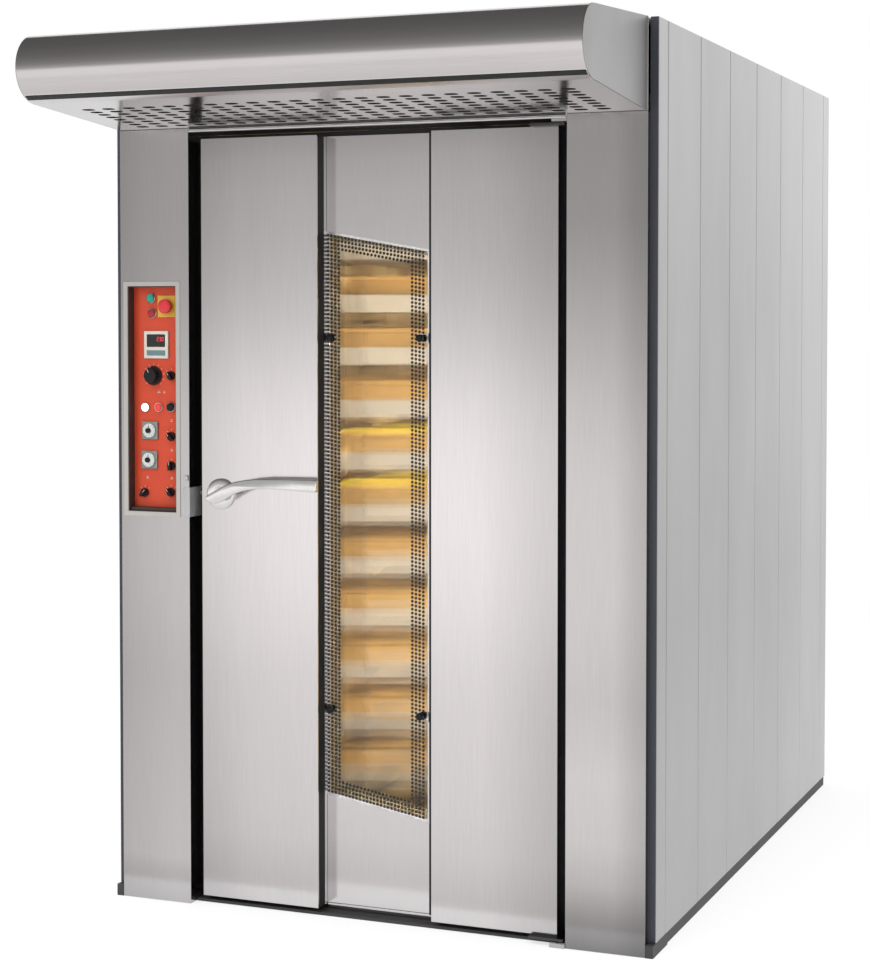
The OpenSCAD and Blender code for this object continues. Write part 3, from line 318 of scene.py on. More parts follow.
# Steel that has been hot: straw, brown and blue-grey stains over the grain
def heatStained(name, color, stain, rough=(0.35, 0.6)):
    material, tree, shader = startMaterial(name, color, Metallic=0.9)
    place = objectPlace(tree)
    cloud = noiseOn(tree, place, 3.2, 6.0, 0.6, 0.8)
    spots = noiseOn(tree, place, 46.0, 4.0, 0.6)
    tone = rampOn(tree, cloud, [(0.3, color), (0.52, stain), (0.72, tinted(color, 0.75))])
    speck = rampOn(tree, spots, [(0.35, 0.82), (0.6, 1.0)])
    paint(tree, shader, mixColor(tree, 1.0, tone, speck, "MULTIPLY"), cloud, rough)
    bumpOn(tree, shader, spots, 0.12, 0.0004)
    return material


def glowing(name, color, strength, rough=0.25):
    material, tree, shader = startMaterial(name, color, Roughness=rough, Emission_Strength=strength)
    shader.inputs["Emission Color"].default_value = (*color, 1)
    frost = noiseOn(tree, objectPlace(tree), 240.0, 3.0)
    tone = rampOn(tree, frost, [(0.3, tinted(color, 0.9)), (0.7, color)])
    tree.links.new(tone, shader.inputs["Base Color"])
    bumpOn(tree, shader, frost, 0.08, 0.0003)
    return material


def clearGlass(name, color, rough=0.02, cover=0.3):
    material, tree, shader = startMaterial(name, color, Roughness=rough, IOR=1.45,
                                           Transmission_Weight=1.0, Alpha=cover)
    smear = noiseOn(tree, objectPlace(tree, (1, 1, 0.4)), 7.0, 5.0, 0.6, 0.8)
    tree.links.new(rangeOn(tree, smear, rough * 0.5, rough * 2.0), shader.inputs["Roughness"])
    return material


# the door's tone is a lighter copy and the left post's a darker copy of the front steel: painted light and
# shade
steelTones = {
    "front": (0.62, 0.605, 0.61),
    "left": (0.56, 0.545, 0.55),
    "end": (0.45, 0.45, 0.45),
    "door": (0.79, 0.77, 0.775),
    "hood": (0.66, 0.64, 0.645),
    "grille": (0.5, 0.49, 0.49),
    "side": (0.55, 0.55, 0.55),
    # painted lamp glow: the lining's and the door sleeve's warm tint stands in for the warm light in the
    # chamber
    "lining": (0.6, 0.53, 0.38),
    "sleeve": (0.73, 0.63, 0.45),
}
# painted light and shade along an axis, brighter or darker where the light falls so: the two ends of the
# span, then [share of the span, tone]
paintedShades = {
    "door": [
        ("X", (-0.5, 0.5), [(0.0, 0.78), (0.12, 0.92), (0.3, 1.0), (0.8, 1.0), (0.93, 0.84), (1.0, 0.78)]),
        ("Z", (0.0, 2.044), [(0.0, 0.82), (0.04, 0.87), (0.1, 0.98), (0.15, 1.0), (0.93, 1.0), (0.97, 0.94),
                             (1.0, 0.8)]),
    ],
    "left": [
        ("X", (-0.735, -0.528), [(0.0, 0.8), (0.35, 0.9), (0.8, 1.0), (1.0, 1.0)]),
        ("Z", (0.0, 2.06), [(0.0, 0.92), (0.03, 1.02), (0.06, 1.25), (0.3, 1.03), (0.5, 0.96), (0.8, 1.0),
                            (1.0, 1.22)]),
    ],
    "right": [
        ("X", (0.528, 0.735), [(0.0, 1.0), (0.6, 0.97), (0.85, 0.8), (1.0, 0.74)]),
        ("Z", (0.0, 2.06), [(0.0, 0.38), (0.03, 0.55), (0.08, 1.0), (0.13, 1.2), (0.21, 1.22), (0.3, 1.06),
                            (0.5, 1.0), (0.78, 0.95), (0.88, 0.88), (0.93, 0.93), (1.0, 0.98)]),
    ],
    "side": [
        ("Y", (-0.78, 1.28), [(0.0, 0.96), (0.3, 0.98), (0.55, 1.06), (0.8, 1.18), (1.0, 1.22)]),
        ("Z", (0.0, 2.3), [(0.0, 0.9), (0.35, 0.88), (0.55, 0.97), (0.7, 1.0), (1.0, 1.16)]),
    ],
    "hood": [
        ("Z", (2.1, 2.275), [(0.0, 1.1), (0.25, 1.1), (0.36, 1.04), (0.48, 0.86), (0.6, 0.95), (0.7, 1.0)]),
    ],
}


# A brushed sheet with its tone, and its painted light and shade where it has one, from the two tables above
def steel(name, tone, grain, rough, cloud, depth, shade=None):
    return brushedSheet(name, steelTones[tone], grain, rough, cloud, depth, shade=paintedShades.get(shade))


frontSteel = steel("frontSteel", "front", "z", (0.13, 0.2), 0.03, 0.12)
# painted shade: the left post gets a darker copy of the right post's steel
leftSteel = steel("leftSteel", "left", "z", (0.13, 0.2), 0.03, 0.12, "left")
rightSteel = steel("rightSteel", "front", "z", (0.13, 0.2), 0.03, 0.12, "right")
doorSteel = steel("doorSteel", "door", "z", (0.12, 0.18), 0.02, 0.12, "door")
hemSteel = steel("hemSteel", "hood", "x", (0.3, 0.4), 0.04, 0.15)
endSteel = steel("endSteel", "end", "x", (0.4, 0.5), 0.03, 0.15)
hoodSteel = steel("hoodSteel", "hood", "x", (0.12, 0.18), 0.03, 0.15, "hood")
grilleSteel = steel("grilleSteel", "grille", "x", (0.14, 0.22), 0.04, 0.12)
sideSteel = steel("sideSteel", "side", "z", (0.42, 0.52), 0.04, 0.2, "side")
liningSteel = steel("liningSteel", "lining", "z", (0.28, 0.42), 0.12, 0.25)
sleeveSteel = brushedSheet("sleeveSteel", steelTones["sleeve"], "z", (0.16, 0.26), 0.08, 0.1, 0.8)
bezelSteel = brushedSheet("bezelSteel", (0.72, 0.71, 0.68), "z", (0.34, 0.46), 0.05)
brightSteel = polished("brightSteel", (0.8, 0.8, 0.79))
fittingSteel = polished("fittingSteel", (0.62, 0.61, 0.6), (0.18, 0.32))
hotSteel = heatStained("hotSteel", (0.34, 0.32, 0.3), (0.3, 0.2, 0.12))
rackSteel = heatStained("rackSteel", (0.3, 0.25, 0.21), (0.22, 0.12, 0.06), (0.32, 0.5))
basePaint = coated("basePaint", (0.035, 0.035, 0.036), (0.5, 0.7), 260.0, 0.3)
cornerTrim = coated("cornerTrim", (0.028, 0.032, 0.042), (0.4, 0.55), 320.0, 0.2)
# black for the hood's dark seam and filter mat, and for the painted shade strips of the door channel and the
# lintel
rubberAndPaintedShade = coated("rubberAndPaintedShade", (0.01, 0.01, 0.011), (0.55, 0.75), 320.0, 0.25)
mineralFibre = coated("mineralFibre", (0.58, 0.5, 0.28), (0.85, 0.98), 150.0, 0.8, 0.18)
doorFibre = coated("doorFibre", (0.045, 0.043, 0.04), (0.85, 0.98), 150.0, 0.8, 0.18, Specular_IOR_Level=0.2)
zincPlate = coated("zincPlate", (0.42, 0.42, 0.43), (0.38, 0.52), 300.0, 0.1, 0.1, 0.5)
pivotSteel = polished("pivotSteel", (0.09, 0.09, 0.09), (0.35, 0.5))
motorPaint = coated("motorPaint", (0.06, 0.15, 0.28), (0.35, 0.5), 500.0, 0.2)
burnerPaint = coated("burnerPaint", (0.42, 0.03, 0.02), (0.3, 0.45), 500.0, 0.2)
panelOrange = coated("panelOrange", (0.46, 0.05, 0.02), (0.34, 0.46), 700.0, 0.12, 0.05,
                     Specular_IOR_Level=0.25)
moduleGrey = coated("moduleGrey", (0.16, 0.19, 0.18), (0.42, 0.55), 600.0, 0.1)
blackPlastic = coated("blackPlastic", (0.008, 0.008, 0.009), (0.28, 0.42), 700.0, 0.1, 0.2,
                      Specular_IOR_Level=0.25)
creamPlastic = coated("creamPlastic", (0.5, 0.47, 0.41), (0.35, 0.45), 700.0, 0.08)
dialGrey = coated("dialGrey", (0.5, 0.52, 0.5), (0.35, 0.5), 700.0, 0.08)
greenPlastic = coated("greenPlastic", (0.01, 0.24, 0.17), (0.14, 0.24), 700.0, 0.04)
darkRedPlastic = coated("darkRedPlastic", (0.26, 0.012, 0.02), (0.14, 0.24), 700.0, 0.04)
stopRed = coated("stopRed", (0.5, 0.02, 0.028), (0.2, 0.32), 700.0, 0.04)
warningYellow = coated("warningYellow", (0.52, 0.29, 0.02), (0.3, 0.42), 700.0, 0.06)
castorBlack = coated("castorBlack", (0.022, 0.021, 0.02), (0.45, 0.65), 300.0, 0.3, 0.25)
trayCream = coated("trayCream", (0.7, 0.68, 0.66), (0.3, 0.48), 260.0, 0.12, 0.08)
tinGlaze = coated("tinGlaze", (0.68, 0.45, 0.17), (0.24, 0.42), 90.0, 0.12, 0.22)
lampLens = glowing("lampLens", (1.0, 0.8, 0.48), 3.0)
whiteLens = glowing("whiteLens", (0.92, 0.9, 1.0), 2.4)
redLens = glowing("redLens", (0.6, 0.03, 0.02), 0.25)
windowGlass = clearGlass("windowGlass", (0.97, 0.985, 0.98))
# painted shade with a painted reflection of the orange fascia, for the recess walls
recessShadeBrown = coated("recessShadeBrown", (0.035, 0.018, 0.014), (0.5, 0.65), 500.0, 0.15, 0.15)
screenBlack = coated("screenBlack", (0.01, 0.011, 0.012), (0.08, 0.14), 700.0, 0.02)
screenTeal = coated("screenTeal", (0.1, 0.17, 0.18), (0.12, 0.2), 700.0, 0.02)
digitRed = glowing("digitRed", (0.85, 0.02, 0.03), 1.2)
print("materials ready:", len(bpy.data.materials))


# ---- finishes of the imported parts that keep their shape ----

finishNodes = [
    (basePaint, "base_frame"), (cornerTrim, "dark_trims"),
    (sideSteel, "side_panels rear_panels roof_panels flue_pipe extractor_housing"),
    (mineralFibre, "insulation_slabs"), (liningSteel, "chamber_lining air_ducts"),
    (hotSteel, "heat_exchanger steam_cascade fan_wheel flue_damper extractor_wheel drive_shaft"),
    (burnerPaint, "burner"), (motorPaint, "fan_motor rack_gearmotor"), (grilleSteel, "hood_grille"),
    (panelOrange, "control_fascia"), (moduleGrey, "control_modules"), (redLens, "indicator_lamps"),
    (zincPlate, "frame_fittings"), (lampLens, "chamber_lamps"), (doorFibre, "door_core"),
    (sleeveSteel, "door_inner_skin"), (windowGlass, "window_panes"), (hoodSteel, "hood_shell"),
    (endSteel, "hood_end_plates"), (leftSteel, "left_post"), (rightSteel, "right_post"),
    (frontSteel, "header_panel"), (bezelSteel, "control_bezel"), (doorSteel, "door_panels"),
    (pivotSteel, "door_pivots"), (brightSteel, "handle_rosette door_lever"),
    (fittingSteel, "latch_bolt castor_fork_left castor_fork_right"), (rackSteel, "rack_frame"),
    (trayCream, "trays"), (tinGlaze, "loaf_tins"),
    (castorBlack, "castor_wheel_left castor_wheel_right castor_wheels_rear"), (greenPlastic, "green_button"),
    (darkRedPlastic, "red_button"), (stopRed, "stop_button"),
    (blackPlastic, "glass_clamps black_button main_dial selector_dial selector_timer_upper"),
    (blackPlastic, "selector_timer_lower selector_left selector_right"),
    (dialGrey, "timer_dial_upper timer_dial_lower"),
]
nodeFinish = {node: material for material, names in finishNodes for node in names.split()}
for node, material in nodeFinish.items():
    nodes[node].data.materials.clear()
    nodes[node].data.materials.append(material)

foldRadius = {
    "left_post": 0.0025, "right_post": 0.0025, "header_panel": 0.0015, "door_panels": 0.0025,
    "control_bezel": 0.0012,
    "frame_fittings": 0.001, "door_pivots": 0.0012, "latch_bolt": 0.0015, "rack_frame": 0.002,
    "drive_shaft": 0.0012, "castor_fork_left": 0.0008, "castor_fork_right": 0.0008, "rack_gearmotor": 0.003,
    "burner": 0.006, "fan_motor": 0.003,
}
for node, radius in foldRadius.items():
    soften(node, nodeFinish[node], radius)
print("folds rounded:", len(foldRadius))


# ---- hood ----

hoodForm = {"noseRadius": 0.085, "noseRise": 0.116, "drop": 0.228, "arcSteps": 60, "plate": 0.002}


def spoke(angle):
    return Vector((cos(angle), sin(angle)))


# Points of the hood's side outline, from the wall over the nose and down to the seam, as [y, z]
def hoodOutline(inset):
    low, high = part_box("hood_shell")
    wall, radius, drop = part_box("header_panel"), hoodForm["noseRadius"], hoodForm["drop"]
    back = wall[0].y
    center = Vector((low.y + radius, wall[1].z - drop + hoodForm["noseRise"]))
    start = Vector((back, high.z - inset))
    end = Vector((back, high.z - drop + inset))
    r = radius - inset

    def tangent(point, side):
        v = center - point
        angle = atan2(v.y, v.x) + side * asin(r / v.length)
        return point + sqrt(v.length_squared - r * r) * spoke(angle)

    upper, lower = tangent(start, -1) - center, tangent(end, 1) - center
    a0 = atan2(upper.y, upper.x)
    a1 = atan2(lower.y, lower.x)
    if a1 < a0:
        a1 += tau
    count = hoodForm["arcSteps"]
    arc = [center + r * spoke(a0 + (a1 - a0) * i / count) for i in range(count + 1)]
    return [start] + arc, end


def buildHood():
    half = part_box("hood_shell")[1].x
    line, end = hoodOutline(0.0)
    plate = hoodForm["plate"]
    bendSheet("hoodSkin", line, hoodOutline(plate)[0], half, hoodSteel, ["hood_shell"])
    for side, name in ((-1, "hoodEndLeft"), (1, "hoodEndRight")):
        bm = bmesh.new()
        outline = [(p.x, p.y) for p in line + [end]]
        place = moved(half if side > 0 else -half - plate, 0, 0) @ sideways
        addOutline(bm, outline, plate, 0.0007, 2, place)
        finishPiece(name, bm, endSteel, "oven", ["hood_end_plates"] if side > 0 else [])


seamForm = {
    "hemSteps": 7, "seamSteps": 4, "short": 0.003, "proud": 0.0005, "under": 0.0008, "seamProud": 0.0011,
    "matInset": 0.02, "matGap": 0.0035, "matThick": 0.002,
}
sideways = Matrix(((0, 0, 1, 0), (1, 0, 0, 0), (0, 1, 0, 0), (0, 0, 0, 1)))


# A bent sheet between an outer and an inner line of [y, z] points, as long as the hood is wide
def bendSheet(name, outer, inner, half, material, stands=()):
    bm = bmesh.new()
    outline = [(p.x, p.y) for p in outer + inner[::-1]]
    addOutline(bm, outline, 2 * half, 0.0, 1, moved(-half, 0, 0) @ sideways)
    return finishPiece(name, bm, material, "oven", stands)


# The dark seam and the hem under the nose, and a dark mat behind the slotted plate
def buildHoodEdge():
    line, end = hoodOutline(0.0)
    foot, steps = line[-1], seamForm["hemSteps"]
    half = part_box("hood_shell")[1].x - seamForm["short"]
    hem = hoodOutline(-seamForm["proud"])[0]
    under = hoodOutline(seamForm["under"])[0]
    bendSheet("hoodHem", hem[-steps - 1:], under[-steps - 1:], half, hemSteel)
    seam = slice(-steps - 1 - seamForm["seamSteps"], -steps)
    proud = hoodOutline(-seamForm["seamProud"])[0]
    bendSheet("hoodSeam", proud[seam], under[seam], half, rubberAndPaintedShade)
    slope = (end - foot).normalized()
    rise = Vector((-slope.y, slope.x)) if slope.x > 0 else Vector((slope.y, -slope.x))
    inset, thick = seamForm["matInset"], seamForm["matThick"]
    near = foot + slope * inset + rise * seamForm["matGap"]
    far = end - slope * inset + rise * seamForm["matGap"]
    outline = [(p.x, p.y) for p in (near, far, far + rise * thick, near + rise * thick)]
    bm = bmesh.new()
    place = moved(inset / 2 - half, 0, 0) @ sideways
    addOutline(bm, outline, 2 * half - inset, 0.0004, 1, place)
    finishPiece("greaseFilter", bm, rubberAndPaintedShade, "oven")


buildHood()
buildHoodEdge()
print("hood built")


# ---- door front ----

channelForm = {
    "sunkFront": -0.7022, "half": 0.16, "thick": 0.0012, "edge": 0.0003, "bare": 0.018, "setBack": 0.004,
    "shadeStripAt": 0.1338, "shadeStripProud": 0.0085, "apronFoot": 0.0098, "apronThick": 0.002,
}


# Painted shade: dark strips on the sides of the sunk panel and one beside its right edge, where the channel
# shows only shade and dark reflection; the left side strip stops short of the sunk panel
def buildChannelShade():
    low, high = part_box("door_panels")
    half, thick, sunk = channelForm["half"], channelForm["thick"], channelForm["sunkFront"]
    foot, top = low.z + 0.001, high.z - 0.001
    bm = bmesh.new()
    for side, back in ((-1, sunk - channelForm["bare"]), (1, sunk)):
        x = side * (half - thick / 2)
        addBlock(bm, (x - thick / 2, low.y + channelForm["setBack"], foot),
                 (x + thick / 2, back, top), channelForm["edge"], 1)
    # painted shadow: a dark strip on the sunk panel along its right edge
    addBlock(bm, (channelForm["shadeStripAt"], sunk - channelForm["shadeStripProud"], foot),
             (half - thick, sunk + 0.0002, top), 0.0006, 1)
    shadeStrips = finishPiece("channelShadeStrips", bm, rubberAndPaintedShade, "door")
    shadeStrips.visible_glossy = False


# Lower apron of the sunk panel
def buildApron():
    half, sunk = channelForm["half"] - 0.002, channelForm["sunkFront"]
    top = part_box("door_panels")[0].z + 0.002
    bm = bmesh.new()
    front, foot = sunk - channelForm["apronThick"], channelForm["apronFoot"]
    addBlock(bm, (-half, front, foot), (half, sunk, top), 0.0008, 2)
    finishPiece("channelApron", bm, doorSteel, "door")


# Heights above the header's lower edge and distances in front of it
lintelForm = {"endGap": 0.003, "rail": (0.0002, 0.008), "proud": 0.0036, "gap": (0.0084, 0.0107)}


def buildLintelRail():
    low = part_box("header_panel")[0]
    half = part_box("right_post")[0].x - lintelForm["endGap"]
    foot, top = (low.z + rise for rise in lintelForm["gap"])
    # painted shadow: a dark strip above the rail, where the lintel shows only shade
    bm = bmesh.new()
    addBlock(bm, (-half, low.y - 0.0004, foot), (half, low.y + 0.001, top))
    finishPiece("lintelShadowGap", bm, rubberAndPaintedShade, "oven")
    foot, top = (low.z + rise for rise in lintelForm["rail"])
    bm = bmesh.new()
    addBlock(bm, (-half, low.y - lintelForm["proud"], foot), (half, low.y + 0.0005, top), 0.0016, 3)
    finishPiece("lintelRail", bm, frontSteel, "oven")


buildChannelShade()
buildApron()
buildLintelRail()
print("door front trimmed")


# ---- window ----

fritForm = {
    "left": 0.0055, "right": 0.0158, "upright": 0.01, "gap": 0.0103, "rings": 4, "dot": 0.0041, "sides": 8,
    "proud": 0.0003, "fall": tan(radians(10)),
}
fritBlack = coated("fritBlack", (0.012, 0.011, 0.01), (0.25, 0.4), 500.0, 0.05, 0.2)


# Corners of the window's sloping outline as [x, z]
def glassCorners():
    low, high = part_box("window_panes")
    fall = fritForm["fall"] * (high.x - low.x)
    places = ((low.x, low.z + fall), (high.x, low.z), (high.x, high.z - fall), (low.x, high.z))
    return [Vector(place) for place in places]


# The same corners drawn in by a distance at the left, the right, and the top and foot
def insetCorners(corners, left, right, upright):
    fall = fritForm["fall"]
    moves = ((left, upright - left * fall), (-right, upright + right * fall),
             (-right, -upright + right * fall), (left, -upright - left * fall))
    return [corner + Vector(move) for corner, move in zip(corners, moves)]


def buildFrit():
    corners = glassCorners()
    dot, proud = fritForm["dot"], fritForm["proud"]
    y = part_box("window_panes")[0].y - proud / 2
    bm = bmesh.new()
    for ring in range(fritForm["rings"]):
        drawn = [fritForm[key] + ring * fritForm["gap"] for key in ("left", "right", "upright")]
        inner = insetCorners(corners, *drawn)
        for start, end in zip(inner, inner[1:] + inner[:1]):
            count = max(1, round((end - start).length / fritForm["gap"]))
            for i in range(count):
                at = start.lerp(end, i / count)
                ops.create_cone(bm, cap_ends=True, cap_tris=False, segments=fritForm["sides"], radius1=dot,
                                radius2=dot * 0.96, depth=proud, matrix=facing((at.x, y, at.y)))
    finishPiece("windowFrit", bm, fritBlack, "door")


clampForm = {
    "columns": (-0.145, 0.111), "rows": (0.54, 1.518), "lobes": 12, "fluteDepth": 0.11, "blockHalf": 0.014,
    "knob": mm([
        (0, 16.5), (4, 16.4), (7.8, 15.8), (9.4, 14.6), (10, 12.8), (10, 5), (9.4, 3.6), (8, 2.8), (8, 0.4),
        (4, 0.4), (4, -14), (0, -14.5)
    ]),
}


# Presses flutes into the part of a turned knob that lies between two radii and two heights
def addFlutes(knob, place, radii, heights, flute):
    inverse = place.inverted()
    for v in knob:
        flat = inverse @ v.co
        if radii[0] < flat.xy.length < radii[1] and heights[0] < flat.z < heights[1]:
            flat.xy *= 1 - flute(atan2(flat.y, flat.x))
            v.co = place @ flat


def buildClamps():
    low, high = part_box("window_panes")
    depth, lobes = clampForm["fluteDepth"], clampForm["lobes"]
    bm = bmesh.new()
    for z in clampForm["rows"]:
        for x in clampForm["columns"]:
            place = facing((x, low.y, z))
            knob = addTurned(bm, clampForm["knob"], 48, place)
            addFlutes(knob, place, (0.0085, 1.0), (0.0045, 0.015),
                      lambda angle: depth * max(0, cos(angle * lobes)) ** 2)
    for z in clampForm["rows"]:
        addBlock(bm, (high.x + 0.001, low.y - 0.008, z - clampForm["blockHalf"]),
                 (high.x + 0.018, channelForm["sunkFront"], z + clampForm["blockHalf"]), 0.002)
    finishPiece("windowClamps", bm, blackPlastic, "door", ["glass_clamps"])


buildFrit()
buildClamps()
print("window dressed")


# ---- door handle ----

leverForm = {
    "spindle": (-0.442, 1.103),
    "outline": mm([
        (-24, -10), (-10, -19), (6, -22.5), (22, -18), (42, -6), (64, 6), (92, 15), (125, 20), (160, 21.5),
        (230, 19.5), (290, 16), (298.5, 16.5), (302.5, 21.5), (302.8, 44), (299, 48), (290, 49), (200, 48),
        (130, 46.5), (95, 43), (64, 37), (40, 29), (18, 18), (0, 8), (-15, 0)
    ]),
    "thick": 0.0138,
    "edge": 0.005,
}


def buildLever():
    x, z = leverForm["spindle"]
    spindle = Vector((x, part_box("door_lever")[0].y + leverForm["thick"] + 0.0002, z))
    bm = bmesh.new()
    addOutline(bm, leverForm["outline"], leverForm["thick"], leverForm["edge"], 4, facing(spindle))
    neck = mm([
        (0, 1), (10.5, 1), (10.5, -26), (13.5, -33), (13.5, -37.5), (10.8, -37.8), (10.8, -59), (0, -59)
    ])
    addTurned(bm, neck, 40, facing(spindle))
    finishPiece("doorLever", bm, brightSteel, "lever", ["door_lever"], 40)


def buildRosette():
    low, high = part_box("handle_rosette")
    center = Vector(((low.x + high.x) / 2, high.y, (low.z + high.z) / 2))
    bm = bmesh.new()
    profile = mm([
        (11.4, 0), (40.5, 0), (41, 0.6), (41, 5), (40.2, 6.6), (38, 8), (33, 9.1), (24, 9.6), (17, 9.8),
        (15, 10), (11.4, 10), (11.4, 0)
    ])
    addTurned(bm, profile, 72, facing(center))
    finishPiece("handleRosette", bm, brightSteel, "door", ["handle_rosette"], 30)


buildLever()
buildRosette()
print("handle built")


# ---- rack, trays and tins ----

rackForm = {
    "levels": 11, "firstTray": 0.282, "pitch": 0.145, "turn": radians(22),
    "trayHalf": (0.4, 0.301), "trayHeight": 0.047, "rim": 0.004, "corner": 0.012,
    "tins": 4, "tinHalf": 0.394, "tinSpan": 0.294, "tinGap": 0.006, "tinTop": 0.102,
}
onRack = turned(rackForm["turn"], "Z")


def trayFoot(level):
    return rackForm["firstTray"] + level * rackForm["pitch"]


def buildTrays():
    bm = bmesh.new()
    halfX, halfY = rackForm["trayHalf"]
    rimWidth, height = rackForm["rim"], rackForm["trayHeight"]
    for level in range(rackForm["levels"]):
        z = trayFoot(level)
        verts = ops.create_cube(bm, size=1.0)["verts"]
        ops.scale(bm, vec=(2 * (halfX - rimWidth), 2 * (halfY - rimWidth), height), verts=verts)
        ops.translate(bm, vec=(0, 0, z + height / 2), verts=verts)
        lower = [v for v in verts if v.co.z < z + 0.01]
        ops.scale(bm, vec=(0.985, 0.982, 1), verts=lower)
        faces = {f for v in verts for f in v.link_faces}
        top = max(faces, key=lambda f: f.calc_center_median().z)
        upright = [e for f in faces for e in f.edges if abs(e.verts[0].co.z - e.verts[1].co.z) > 0.01]
        ops.delete(bm, geom=[top], context="FACES_ONLY")
        ops.bevel(bm, geom=list(set(upright)), offset=rackForm["corner"], offset_type="OFFSET",
                  segments=3, profile=0.5, material=-1, affect="EDGES")
        rim = [e for e in bm.edges if e.is_boundary and all(abs(v.co.z - z - height) < 1e-4 for v in e.verts)]
        # the rim runs outwards, then turns down
        for spread, drop in ((True, 0.0), (False, -0.004)):
            made = ops.extrude_edge_only(bm, edges=rim)["geom"]
            outer = [g for g in made if isinstance(g, bmesh.types.BMVert)]
            if spread:
                wider = (halfX / (halfX - rimWidth), halfY / (halfY - rimWidth), 1)
                ops.scale(bm, vec=wider, verts=outer)
            ops.translate(bm, vec=(0, 0, drop), verts=outer)
            rim = [g for g in made if isinstance(g, bmesh.types.BMEdge) and g.is_boundary]
    ops.transform(bm, matrix=onRack, verts=bm.verts[:])
    ops.recalc_face_normals(bm, faces=bm.faces[:])
    ops.solidify(bm, geom=bm.faces[:], thickness=0.0014)
    finishPiece("bakingTrays", bm, trayCream, "rack", ["trays"], 50)


def buildTins():
    bm = bmesh.new()
    span, gap, reach = rackForm["tinSpan"], rackForm["tinGap"], rackForm["tinHalf"]
    width = (2 * span + gap) / rackForm["tins"]
    for level in range(rackForm["levels"]):
        z = trayFoot(level) + 0.002
        top = trayFoot(level) + rackForm["tinTop"]
        for number in range(rackForm["tins"]):
            y0 = -span + number * width
            y1 = y0 + width - gap
            # the tin, its lid and the raised middle of the lid
            addBlock(bm, (-reach + 0.004, y0 + 0.004, z), (reach - 0.004, y1 - 0.004, top - 0.012), 0.006, 2)
            addBlock(bm, (-reach, y0, top - 0.014), (reach, y1, top - 0.002), 0.003, 2)
            addBlock(bm, (-reach + 0.02, y0 + 0.018, top - 0.004), (reach - 0.02, y1 - 0.018, top), 0.0018, 1)
        # straps that join the tins of one tray
        for x in (-reach + 0.04, reach - 0.06):
            addBlock(bm, (x, -span + 0.01, top - 0.012), (x + 0.02, span - 0.01, top - 0.0105))
    ops.transform(bm, matrix=onRack, verts=bm.verts[:])
    finishPiece("loafTins", bm, tinGlaze, "rack", ["loaf_tins"], 50)


wheelForm = {"radius": 0.05, "half": 0.014, "bore": 0.0064}


def wheelProfile():
    r, h, b = wheelForm["radius"], wheelForm["half"], wheelForm["bore"]
    side = [(b, -h), (0.016, -h), (0.017, -h + 0.002), (0.03, -h + 0.005), (0.036, -h + 0.004),
            (0.039, -h + 0.0005), (0.046, -h + 0.0005), (r - 0.001, -h + 0.003), (r, -h + 0.006)]
    return side + [(x, -z) for x, z in reversed(side)] + side[:1]


def buildWheels():
    height = middleOf("castor_wheel_left").z
    sets = (("castorWheelLeft", "castor_wheel_left", [(-0.372, -0.212)]),
            ("castorWheelRight", "castor_wheel_right", [(0.372, -0.212)]),
            ("castorWheelsRear", "castor_wheels_rear", [(-0.372, 0.24), (0.372, 0.24)]))
    for name, node, spots in sets:
        bm = bmesh.new()
        for x, y in spots:
            place = onRack @ moved(x, y, height) @ turned(pi / 2, "Y")
            addTurned(bm, wheelProfile(), 48, place)
        finishPiece(name, bm, castorBlack, bodyOf[node], [node], 30)


buildTrays()
buildTins()
buildWheels()
print("rack dressed")


# ---- control panel ----

panelForm = {"x": -0.64, "z": 1.353, "front": -0.753}


def panelPoint(x, z, proud=0.0):
    return Vector((panelForm["x"] + x, panelForm["front"] - proud, panelForm["z"] + z))


def onPanel(x, z, proud=0.0, turn=0.0):
    return facing(panelPoint(x, z, proud), turn)


recessForm = {"half": (0.073, 0.302), "wall": 0.0035, "sill": 0.0105, "seal": 0.0022}


# Painted shade and reflection in the recess: dark walls, thick at the left and the foot, and a thin dark line
# at the right and the top
def buildRecess():
    (halfX, halfZ), seal = recessForm["half"], recessForm["seal"]
    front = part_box("control_bezel")[0].y + 0.0008
    back = panelForm["front"] - 0.0002
    left, right = panelForm["x"] - halfX, panelForm["x"] + halfX
    foot, top = panelForm["z"] - halfZ, panelForm["z"] + halfZ
    bm = bmesh.new()
    addBlock(bm, (left - 0.0004, front, foot), (left + recessForm["wall"], back, top), 0.0005, 1)
    addBlock(bm, (left, front + 0.006, foot - 0.0004), (right, back, foot + recessForm["sill"]), 0.0012, 2)
    addBlock(bm, (left, front, top - seal), (right, front + 0.004, top + 0.0004), 0.0005, 1)
    addBlock(bm, (right - seal / 2, front, foot), (right + 0.0004, front + 0.004, top), 0.0004, 1)
    finishPiece("recessPaintedShade", bm, recessShadeBrown, "oven")


buttonSpots = {"green_button": (-0.016, 0.27), "red_button": (-0.012, 0.23), "black_button": (0.044, -0.022)}
timerSpots = {"timer_dial_upper": (-0.02, -0.086), "timer_dial_lower": (-0.022, -0.165)}
# the third number is the turn in degrees
selectorSpots = {
    "selector_dial": (0.044, 0.062, 30), "selector_timer_upper": (0.044, -0.101, 40),
    "selector_timer_lower": (0.044, -0.18, 0), "selector_left": (-0.038, -0.254, -45),
    "selector_right": (0.042, -0.251, 35),
}
dialSpot, stopSpot = (-0.01, 0.062), (0.033, 0.248)
